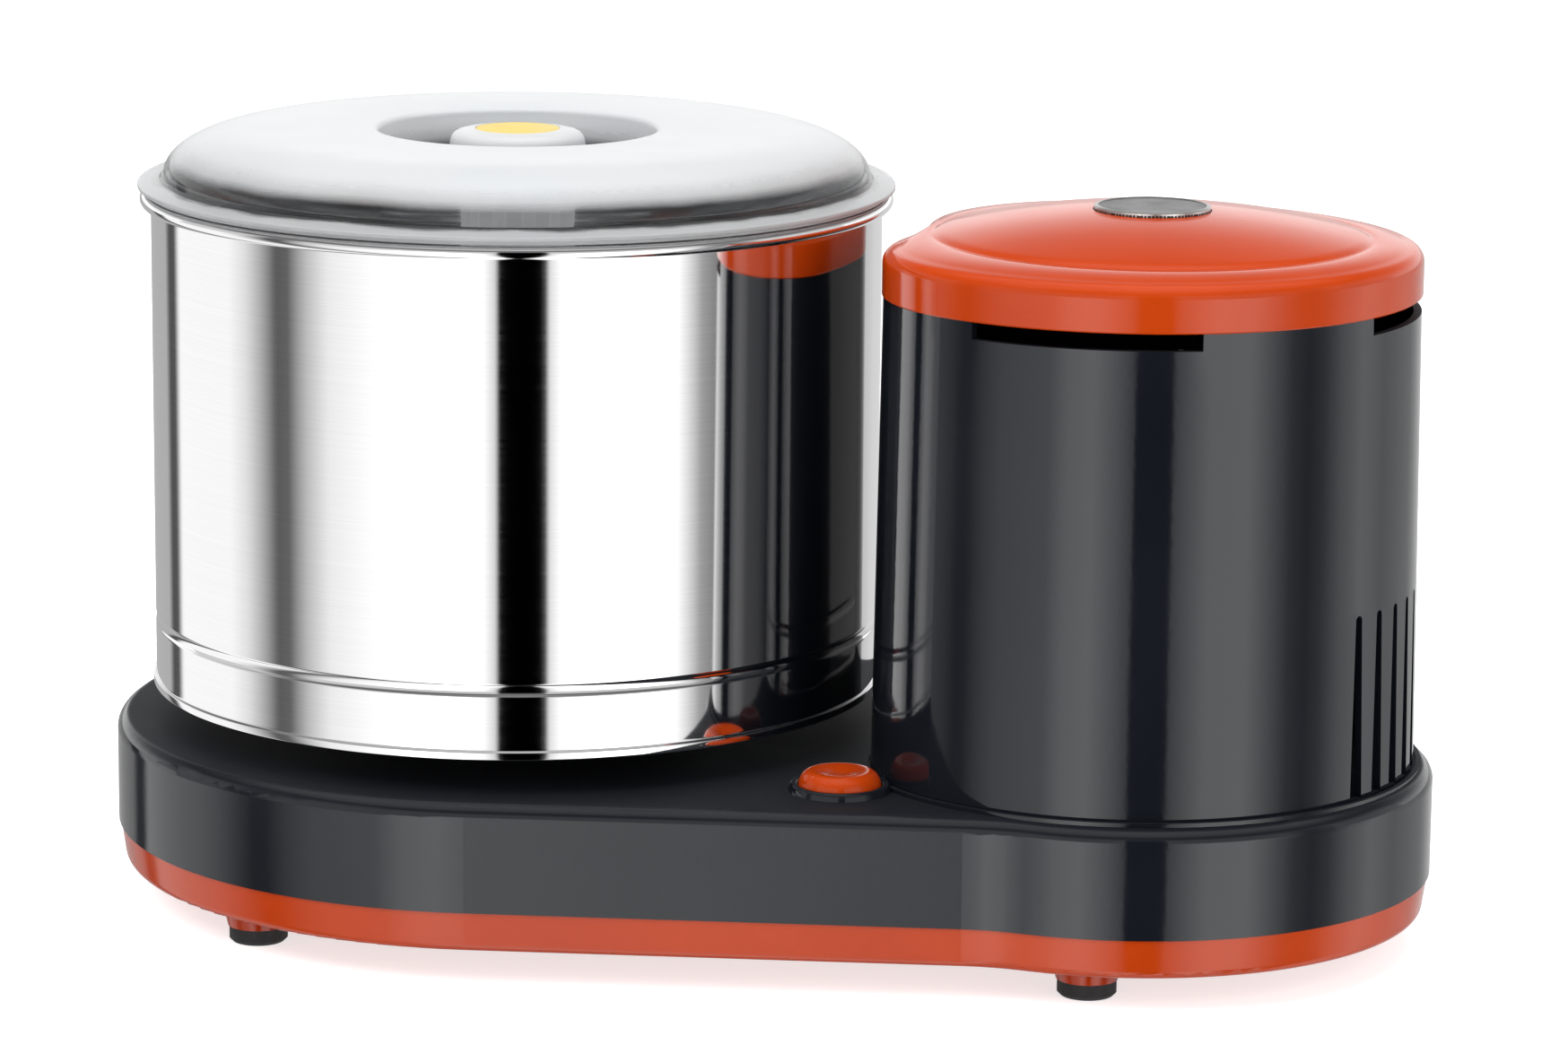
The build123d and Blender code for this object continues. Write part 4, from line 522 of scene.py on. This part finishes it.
def rounded(corners, steps=5):
    """A row of points in mm through corners, each a radius, a height and how round it is."""
    row = []
    for index, (x, z, radius) in enumerate(corners):
        if not radius or index in (0, len(corners) - 1):
            row.append((x, z))
            continue
        here = Vector((x, z))
        back = Vector(corners[index - 1][:2]) - here
        on = Vector(corners[index + 1][:2]) - here
        half_turn = back.angle(on) / 2
        reach = min(radius / abs(sin(half_turn) / cos(half_turn)), 0.49 * back.length, 0.49 * on.length)
        start, end = here + back.normalized() * reach, here + on.normalized() * reach
        for step in range(steps + 1):
            share = step / steps
            row.append(tuple((1 - share) ** 2 * start + 2 * share * (1 - share) * here + share ** 2 * end))
    return row


# %% The finished mesh
def finished_piece(name, work, mesh, sharp):
    """Faces turned outwards and smooth between edges sharper than some degrees, as a piece in the scene."""
    bmesh.ops.recalc_face_normals(work, faces=work.faces)
    work.to_mesh(mesh)
    work.free()
    mesh.shade_smooth()
    mesh.set_sharp_from_angle(angle=radians(sharp))
    made = bpy.data.objects.new(name, mesh)
    scene.collection.objects.link(made)
    print(name, len(mesh.polygons), "faces")
    return made


def plain_mesh(name, tree, values, points=(), closed=False):
    """Run a geometry tree on a section of points in mm, and keep the result as a plain mesh at the origin."""
    steps = [(i, i + 1) for i in range(len(points) - 1)] + ([(len(points) - 1, 0)] if closed else [])
    section = bpy.data.meshes.new(name + " section")
    section.from_pydata([(x / 1000, 0, z / 1000) for x, z in points], steps, [])
    source = bpy.data.objects.new(name + " section", section)
    scene.collection.objects.link(source)
    modifier = source.modifiers.new("shape", "NODES")
    modifier.node_group = tree
    for label, value in values.items():
        modifier[socket_of(tree, label)] = value
    bpy.context.view_layer.update()
    ready = source.evaluated_get(bpy.context.evaluated_depsgraph_get())
    mesh = bpy.data.meshes.new_from_object(ready)
    source.modifiers.remove(modifier)
    bpy.data.objects.remove(source)
    work = bmesh.new()
    work.from_mesh(mesh)
    return finished_piece(name, work, mesh, sharp=40)


def spin(name, rows, axis, finish, steps=192):
    """A spun piece from a row of points in mm, a radius and a height each."""
    made = plain_mesh(name, turning, {"Steps": steps, "Axis": (axis.x, axis.y, 0), "Finish": finishes[finish]}, rows)
    return made


# %% [markdown]
# ## The drum's wall
# The wall is one sheet of steel: a hem bead at its foot, a pressed groove above it and a rolled rim on top. All
# of it is in the section. The inside isn't polished, so the faces that look at the axis get a duller steel, which
# is also darker as painted shade, for the shade down inside the drum under the lid.

# %% The section of the wall
drum_r, drum_bore_r = 112.5, 111.5
hem_z, hem_h, hem_out = 66.4, 2.6, 0.9
rim_z, bead_r, bead_x = 219.6, 2.0, 113.9
groove_z, groove_r, groove_depth = 87.4, 3.0, 0.7

groove_reach = sqrt(groove_r ** 2 - (groove_r - groove_depth) ** 2)
lean = atan2(groove_reach, groove_r - groove_depth)
wall = rounded([(drum_bore_r, 150, 0), (drum_bore_r, hem_z, 0.4), (drum_r + hem_out, hem_z, 0.6),
                (drum_r + hem_out, hem_z + hem_h, 0.8), (drum_r, hem_z + hem_h, 0.5), (drum_r, 80, 0)])[:-1]
wall += [(drum_r, level) for level in (hem_z + hem_h + 0.9, 72, 78, groove_z - groove_reach - 0.3)]
wall += arc((drum_r + groove_r - groove_depth, groove_z), groove_r, pi + lean, pi - lean, 10)
wall += [(drum_r, level) for level in (groove_z + groove_reach + 0.3, 95, 150, 205, 214.6)]
wall += arc((bead_x, rim_z - bead_r), bead_r, radians(-135), radians(170), 22)
wall += [(drum_bore_r, rim_z - bead_r - 1.2), (drum_bore_r, 150)]
print("drum wall from", hem_z, "to", rim_z, "mm in", len(wall), "points")

# %% The drum wall
drum_wall = spin("drum_wall", wall, drum_axis, "drum_steel", 256)
# the steel inside is duller, and darker as painted shade, for the shade inside the drum under the lid
steel("dull drum inside with painted shade", (0.36, 0.37, 0.39), (0.16, 0.26), drum_axis, 2400, 2400, 1e-6)
drum_wall.data.materials.append(finishes["dull drum inside with painted shade"])
towards_axis = -0.05  # metres from the axis, times how far a face looks away from it
inner_faces = [face for face in drum_wall.data.polygons
               if Vector((face.center.x - drum_axis.x, face.center.y)).dot(Vector(face.normal[:2])) < towards_axis]
for face in inner_faces:
    face.material_index = 1
print(len(inner_faces), "faces inside the drum")
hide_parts("drum_shell")
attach(drum_wall, body_of_node["drum_shell"])

# %% [markdown]
# ## The orange cap
# The cap follows the tower's outline, a round wall that is hollowed on the side of the drum, and carries a
# round dome. It is lofted: every point of the outline has a partner on a circle round the dome's middle, and
# rings between the two make the rounded edge, the flat rim, the soft valley and the dome. The outline is the
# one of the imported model, so it is worked out from the same radii.

# %% The tower's outline
drum_middle, tower_middle = Vector((drum_axis.x, 0)) * 1000, Vector((tower_axis.x, 0)) * 1000
tower_r, hollow_r, corner_r = 84.8, 127.5, 56.0


def tower_outline(grow, steps=60):
    """Points in mm round the tower's outline, grown by a margin, counter-clockwise from its nose."""
    gap = (tower_middle - drum_middle).length
    near, far = tower_r - corner_r, hollow_r + corner_r
    along = (gap ** 2 + far ** 2 - near ** 2) / (2 * gap)
    front = drum_middle + Vector((along, -sqrt(far ** 2 - along ** 2)))
    rear = Vector((front.x, -front.y))
    turn_out = (front - tower_middle).normalized()
    turn_in = (drum_middle - rear).normalized()
    end = atan2(turn_out.y, turn_out.x)
    half = atan2(rear.y - drum_middle.y, rear.x - drum_middle.x)
    row = arc(tower_middle, tower_r + grow, end, -end, 3 * steps)[:-1]
    row += arc(rear, corner_r + grow, -end, 2 * pi + atan2(turn_in.y, turn_in.x), 2 * steps)[:-1]
    row += arc(drum_middle, hollow_r - grow, half, -half, steps)[:-1]
    row += [(x, -y) for x, y in reversed(row[3 * steps:5 * steps + 1])][:-1]
    return [Vector(point) for point in row]


outline = tower_outline(0)
print("tower outline with", len(outline), "points, from x", round(min(p.x for p in outline), 1),
      "to", round(max(p.x for p in outline), 1))

# %% The cap's rings
cap_low, cap_crest, cap_top = 200.1, 216.1, 224.1
cap_grow, edge_r, cap_wall_t, rim_fall, rim_lean = 0.4, 4.2, 2.4, 2.2, radians(16)
dome_x, dome_r, crease_w, crease_depth = 118.0, 66.0, 3.0, 0.5
dome_foot = dome_r + 1.0
dome_middle = Vector((dome_x, 0))
sphere_r = (dome_r ** 2 + (cap_top - cap_crest) ** 2) / (2 * (cap_top - cap_crest))
side_top = cap_crest - rim_fall - edge_r * cos(rim_lean)
rim_inset = edge_r * (1 - sin(rim_lean))


def cap_ring(inset, height):
    """A ring at an inset from the cap's outside."""
    return [(p.x, p.y, height) for p in tower_outline(cap_grow - inset)]


def dome_height(radius):
    """How high the dome stands at a radius from its middle, with the crease round its foot."""
    rise = sqrt(sphere_r ** 2 - min(radius, dome_r) ** 2) - sqrt(sphere_r ** 2 - dome_r ** 2)
    share = min(1, abs(radius - dome_r) / crease_w)
    return cap_crest + rise - crease_depth * (0.5 + 0.5 * cos(pi * share))


def dome_ring(radius, height=None):
    """A ring round the dome's middle, whose points lie in line with those of the rim."""
    level = dome_height(radius) if height is None else height
    ways = [(p - dome_middle).normalized() for p in tower_outline(cap_grow - rim_inset)]
    return [(*(dome_middle + radius * way), level) for way in ways]


def rim_ring(share):
    """A ring part of the way from the rounded edge in to the foot of the dome."""
    level = dome_height(dome_foot) - rim_fall * (1 - share) ** 2
    return [(x + share * (fx - x), y + share * (fy - y), level)
            for (x, y, _), (fx, fy, _) in zip(cap_ring(rim_inset, 0), dome_ring(dome_foot))]


# %% The cap
edge_steps = rim_steps = 8
dome_radii = [66.4, 65.8, 65.2, 64.4, 63.5, 62, 60, 57, 53, 48, 42, 36, 30, 25, 21, 18.6, 17.8]
seat_r, seat_z, hole_r, hole_z = dome_radii[-1], 222.6, 14, 220.2

rings = [cap_ring(cap_wall_t, cap_low), cap_ring(0.4, cap_low), cap_ring(0, cap_low + 0.4), cap_ring(0, side_top)]
for step in range(1, edge_steps + 1):
    turned_by = (pi / 2 - rim_lean) * step / edge_steps
    rings.append(cap_ring(edge_r * (1 - cos(turned_by)), side_top + edge_r * sin(turned_by)))
rings += [rim_ring(step / rim_steps) for step in range(1, rim_steps + 1)]
rings += [dome_ring(radius) for radius in dome_radii]
rings += [dome_ring(seat_r, seat_z), dome_ring(hole_r, seat_z), dome_ring(hole_r, hole_z)]
rings += [dome_ring(dome_r - 4, cap_crest - 3.4), cap_ring(cap_wall_t + 3, cap_crest - rim_fall - 3.2)]
rings += [cap_ring(cap_wall_t, side_top - 1), cap_ring(cap_wall_t, cap_low)]

work = bmesh.new()
rows = [[work.verts.new([c / 1000 for c in p]) for p in ring] for ring in rings]
count = len(outline)
for lower, upper in zip(rows, rows[1:]):
    for i in range(count):
        work.faces.new((lower[i], lower[(i + 1) % count], upper[(i + 1) % count], upper[i]))
bmesh.ops.remove_doubles(work, verts=work.verts, dist=1e-6)
cap = finished_piece("orange_cap", work, bpy.data.meshes.new("orange_cap"), sharp=35)
cap.data.materials.append(finishes["accent_orange"])
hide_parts("tower_cap")
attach(cap, body_of_node["tower_cap"])

# %% A thin bright rim round the bare badge
ring_in, ring_out, ring_low, ring_high = 16.2, 17.5, 223.4, 225.0
ring_rows = rounded([(ring_in, ring_high - 0.4, 0), (ring_in, ring_high, 0.2), (ring_out, ring_high - 0.2, 0.3),
                     (ring_out, ring_low, 0), (ring_in, ring_low, 0), (ring_in, ring_high - 0.4, 0)])
badge_rim = spin("badge_rim", ring_rows, dome_middle / 1000, "screw_steel", 96)
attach(badge_rim, body_of_node["cap_badge"])

# %% [markdown]
# ## The lid
# The lid is one sheet: a flange that stands a little off the drum's rim, a soft shoulder, and a
# well whose floor rises again as a round knob to lift it by. Both skins of the sheet are in one closed section,
# so the light is bent as in real plastic. A plain disc lies in the top of the knob.

# %% Lid
lid_z, lid_top, lid_t = 219.9, 238.9, 2.0
flange_r, side_r, crown_r = 116.5, 108.7, 80.0
shoulder_z, ledge_z, ledge = 224.8, 224.2, 0.5
foot_r, flange_low, flange_high = 114.3, 221.2, 222.5
well_r, well_foot_r, well_floor = 43.0, 40.5, 225.1
grip_r, grip_top_r, grip_dome, disc_r, disc_t = 22.0, 20.0, 1.4, 12.9, 0.5
seat_edge, seat_dip = disc_r + 0.2, 0.35


def shoulder(inset, steps=16):
    """The quarter of an ellipse from the lid's side up to its crown, set in by a margin."""
    across, up = side_r - crown_r - inset, lid_top - shoulder_z - inset
    return [(crown_r + across * cos(a), shoulder_z + up * sin(a))
            for a in (pi / 2 * step / steps for step in range(steps + 1))]


outside = rounded([(side_r - lid_t, lid_z, 0), (foot_r, lid_z, 0.3), (foot_r + 0.4, flange_low, 0.3),
                   (flange_r, flange_low, 0.5), (flange_r, flange_high, 0.5),
                   (side_r + ledge + 0.8, ledge_z - 0.7, 1.0), (side_r + ledge, ledge_z, 0.3),
                   (side_r, ledge_z + 0.1, 0.1), (side_r, shoulder_z, 0)])[:-1]
outside += shoulder(0)[1:-1]
outside += rounded([(crown_r, lid_top, 0), (well_r, lid_top, 2.2), (well_foot_r, well_floor, 3.0),
                    (grip_r, well_floor, 2.5), (grip_top_r + 0.4, lid_top - grip_dome, 4.0),
                    (seat_edge, lid_top - seat_dip, 0)])
outside += [(seat_edge, lid_top - disc_t - seat_dip), (0, lid_top - disc_t - 0.1)]
inside = rounded([(0, lid_top - lid_t - 0.1, 0), (grip_top_r - lid_t, lid_top - grip_dome - lid_t, 2.5),
                  (grip_r - lid_t, well_floor - lid_t, 2.0), (well_foot_r + lid_t, well_floor - lid_t, 2.0),
                  (well_r + lid_t, lid_top - lid_t, 1.5), (crown_r, lid_top - lid_t, 0)])
inside += list(reversed(shoulder(lid_t)))[1:-1]
inside += [(side_r - lid_t, shoulder_z), (side_r - lid_t, lid_z)]
lid = spin("lid_shell", outside + inside, drum_axis, "lid_plastic", 192)
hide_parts("lid")
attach(lid, body_of_node["lid"])

# %% The plain disc on its knob
gloss_plastic("plain disc", (0.72, 0.5, 0.09), (0.78, 0.56, 0.11), (0.3, 0.42))
disc_low = lid_top - disc_t - 0.3
disc_rows = rounded([(0, disc_low, 0), (disc_r, disc_low - 0.05, 0.05), (disc_r, lid_top - 0.4, 0.2),
                     (0, lid_top - 0.15, 0)])
disc_mesh = spin("lid_disc", disc_rows, drum_axis, "plain disc", 96)
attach(disc_mesh, body_of_node["lid"])

# %% [markdown]
# ## The push button and its collar
# A button that a wet finger presses has a soft edge and a shallow dish. It is turned too, from the middle of
# its top to the end of the stem that works the switch. Round it stands a raised collar of the deck's own
# plastic, whose rounded crest catches a ring of light.

# %% Push button
button_low, button_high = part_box("button")
button_axis = (button_low + button_high) / 2
button_r, stem_r, dish = 12.4, 3.0, 1.1
dish_r, side_h, skirt_h = 8.6, 4.8, 12
top_z, stem_z = button_high.z * 1000, button_low.z * 1000
skirt_z = stem_z + skirt_h
rows = [(dish_r * step / 10, top_z - dish * (0.5 + 0.5 * cos(pi * step / 10))) for step in range(11)]
rows += [(dish_r + (button_r - dish_r) * sin(a), top_z - side_h * (1 - cos(a)))
         for a in (pi / 2 * step / 12 for step in range(1, 13))]
rows += rounded([(button_r, top_z - side_h - 0.2, 0), (button_r, skirt_z, 0.3), (stem_r, skirt_z, 0.3),
                 (stem_r, stem_z, 0.3), (0, stem_z, 0)])
push_button = spin("push_button", rows, button_axis, "accent_orange", 128)
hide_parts("button")
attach(push_button, body_of_node["button"])

# %% Its raised collar
collar_low, collar_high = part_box("button_collar")
collar_r, collar_foot_r, bore_r, deck_z = 14.6, 13.5, 12.7, 56.0
foot_z, crest_z = collar_low.z * 1000, collar_high.z * 1000 + 0.8
collar_rows = rounded([(bore_r, foot_z, 0), (collar_foot_r, foot_z, 0.2), (collar_foot_r, deck_z - 0.1, 0),
                       (collar_r + 0.8, deck_z - 0.1, 0), (collar_r + 0.1, crest_z, 1.4),
                       (bore_r, crest_z - 0.3, 0.5), (bore_r, foot_z, 0)])
collar = spin("button_ring", collar_rows, button_axis, "shell_slate", 128)
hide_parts("button_collar")
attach(collar, body_of_node["button_collar"])

# %% [markdown]
# ## The button's spring
# Under the button stands a small coil spring. A tree draws it as a wire along a spiral.

# %% The spring tree
coiling, given, result = tree_with("wire along a spiral", Turns="Float", Radius="Float", Height="Float", Wire="Float",
                                   Foot="Vector", Finish="Material")
both_ends = {end + " Radius": given.outputs["Radius"] for end in ("Start", "End")}
spiral = put(coiling, "GeometryNodeCurveSpiral", Resolution=28, Rotations=given.outputs["Turns"],
             Height=given.outputs["Height"], **both_ends).outputs[0]
wire = put(coiling, "GeometryNodeCurvePrimitiveCircle", Resolution=10, Radius=given.outputs["Wire"]).outputs[0]
tube = put(coiling, "GeometryNodeCurveToMesh", n0=spiral, n1=wire, **{"Fill Caps": True}).outputs[0]
placed = put(coiling, "GeometryNodeSetPosition", Geometry=tube, Offset=given.outputs["Foot"]).outputs[0]
end_tree(coiling, result, placed, given.outputs["Finish"])

# %% The spring
spring_low, spring_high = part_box("button_spring")
spring_r, wire_r, spring_turns, button_travel = 0.0074, 0.0005, 4.0, 0.003
spring_h = spring_high.z - spring_low.z
end_gap = 1.1 * wire_r
values = {"Turns": spring_turns, "Radius": spring_r, "Height": spring_h - 2 * end_gap, "Wire": wire_r,
          "Foot": (button_axis.x, button_axis.y, spring_low.z + end_gap), "Finish": finishes["screw_steel"]}
coil_spring = plain_mesh("coil_spring", coiling, values)
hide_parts("button_spring")
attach(coil_spring, body_of_node["button_spring"])
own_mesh(coil_spring)
print("spring", round(1000 * spring_h, 1), "mm high")

# %% [markdown]
# ## The windings
# With the cap off, the ends of the coils show: strands of lacquered copper laid round the bore of the stator and
# tied down with cord. One tree lays a circle for each strand and sets a tie at equal steps round the ring. Both
# ends of the stator use it, each with its own section.

# %% The winding tree: strands
strand_r, cord_r = 0.00072, 0.0005
wave_count, wave_size = 95.0, 0.0016  # waves in a metre, and how far they carry a strand off its circle
tie_slack = 0.1  # how much wider a tie is than the section

laying, given, result = tree_with("strands round a ring", Strands="Int", Ties="Int", Middle="Vector", Axis="Vector",
                                  Copper="Material", Cord="Material")


def tube_along(curve, radius, finish):
    """A tube of some radius along a curve of the winding tree, with its finish."""
    round_wire = put(laying, "GeometryNodeCurvePrimitiveCircle", Resolution=6, Radius=radius).outputs[0]
    tube = put(laying, "GeometryNodeCurveToMesh", n0=curve, n1=round_wire).outputs[0]
    return put(laying, "GeometryNodeSetMaterial", Geometry=tube, Material=given.outputs[finish]).outputs[0]


section = put(laying, "GeometryNodeMeshToCurve", Mesh=given.outputs["Geometry"]).outputs[0]
row = put(laying, "GeometryNodeResampleCurve", Curve=section, Count=given.outputs["Strands"]).outputs[0]
place = put(laying, "GeometryNodeInputPosition").outputs[0]
out = put(laying, "ShaderNodeSeparateXYZ", Vector=place).outputs["X"]
circle = put(laying, "GeometryNodeCurvePrimitiveCircle", Resolution=120, Radius=1.0).outputs[0]
wide = put(laying, "ShaderNodeCombineXYZ", X=out, Y=out, Z=1.0).outputs[0]
laid = put(laying, "GeometryNodeInstanceOnPoints", Points=row, Instance=circle, Scale=wide).outputs[0]
back = put(laying, "ShaderNodeCombineXYZ", X=sums(laying, "MULTIPLY", out, -1.0)).outputs[0]
centred = put(laying, "GeometryNodeTranslateInstances", Instances=laid, Translation=back, **{"Local Space": False})
circles = put(laying, "GeometryNodeRealizeInstances", Geometry=centred.outputs[0]).outputs[0]
waves = put(laying, "ShaderNodeTexNoise", Vector=place, Scale=wave_count).outputs["Color"]
drift = put(laying, "ShaderNodeVectorMath", "SUBTRACT", n0=waves, n1=(0.5, 0.5, 0.5)).outputs[0]
drift = put(laying, "ShaderNodeVectorMath", "SCALE", n0=drift, Scale=wave_size).outputs[0]
wavy_circles = put(laying, "GeometryNodeSetPosition", Geometry=circles, Offset=drift).outputs[0]
strands = tube_along(wavy_circles, strand_r, "Copper")

# %% The winding tree: ties
from_middle = put(laying, "ShaderNodeVectorMath", "SUBTRACT", n0=place, n1=given.outputs["Middle"]).outputs[0]
outward = put(laying, "ShaderNodeVectorMath", "SCALE", n0=from_middle, Scale=tie_slack).outputs[0]
loop = put(laying, "GeometryNodeSetPosition", Geometry=section, Offset=outward).outputs[0]
spots = put(laying, "GeometryNodeMeshLine", Count=given.outputs["Ties"], Offset=(0.0, 0.0, 0.0)).outputs[0]
index = put(laying, "GeometryNodeInputIndex").outputs[0]
angle = sums(laying, "MULTIPLY", sums(laying, "DIVIDE", index, given.outputs["Ties"]), 2 * pi)
turned_by = put(laying, "ShaderNodeCombineXYZ", Z=angle).outputs[0]
loops = put(laying, "GeometryNodeInstanceOnPoints", Points=spots, Instance=loop, Rotation=turned_by).outputs[0]
loops = put(laying, "GeometryNodeRealizeInstances", Geometry=loops).outputs[0]
ties = tube_along(loops, cord_r, "Cord")

joined = laying.nodes.new("GeometryNodeJoinGeometry")
for piece in (strands, ties):
    laying.links.new(piece, joined.inputs[0])
moved = put(laying, "GeometryNodeSetPosition", Geometry=joined.outputs[0], Offset=given.outputs["Axis"]).outputs[0]
real = put(laying, "GeometryNodeRealizeInstances", Geometry=moved).outputs[0]
laying.links.new(real, result.inputs["Geometry"])
print("winding tree with", len(laying.nodes), "nodes")

# %% Both coil ends
coil_low, coil_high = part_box("stator_windings")
core_low, core_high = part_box("stator_core")
coil_in, coil_out, inset, filling_inset = 30.0, 44.0, 1.5, 0.4
strand_count, tie_count = 30, 18


def coil_end(name, low, high):
    """Strands and ties for one end of the stator, between two heights in mm, and what fills the ring inside them."""
    near, far, foot, head = coil_in + inset, coil_out - inset, low + inset, high - inset
    middle_x = (near + far) / 2
    corners = rounded([(middle_x, foot, 0), (far, foot, 2.0), (far, head, 2.0), (near, head, 2.0), (near, foot, 2.0),
                       (middle_x, foot, 0)])[:-1]
    values = {"Strands": strand_count, "Ties": tie_count, "Middle": (middle_x / 1000, 0, (low + high) / 2000),
              "Axis": (tower_axis.x, tower_axis.y, 0), "Copper": finishes["winding_copper"],
              "Cord": finishes["bush_plastic"]}
    made = plain_mesh(name, laying, values, corners, closed=True)
    near, far, foot, head = near + filling_inset, far - filling_inset, foot + filling_inset, head - filling_inset
    filling_rows = rounded([(near, head, 0), (near, foot, 1), (far, foot, 1), (far, head, 1), (near, head, 0)])
    return [made, spin(name + "_filling", filling_rows, tower_axis, "winding_copper", 96)]


coils = coil_end("lower_coil", coil_low.z * 1000, core_low.z * 1000)
coils += coil_end("upper_coil", core_high.z * 1000, coil_high.z * 1000)
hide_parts("stator_windings")
for piece in coils:
    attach(piece, body_of_node["stator_windings"])
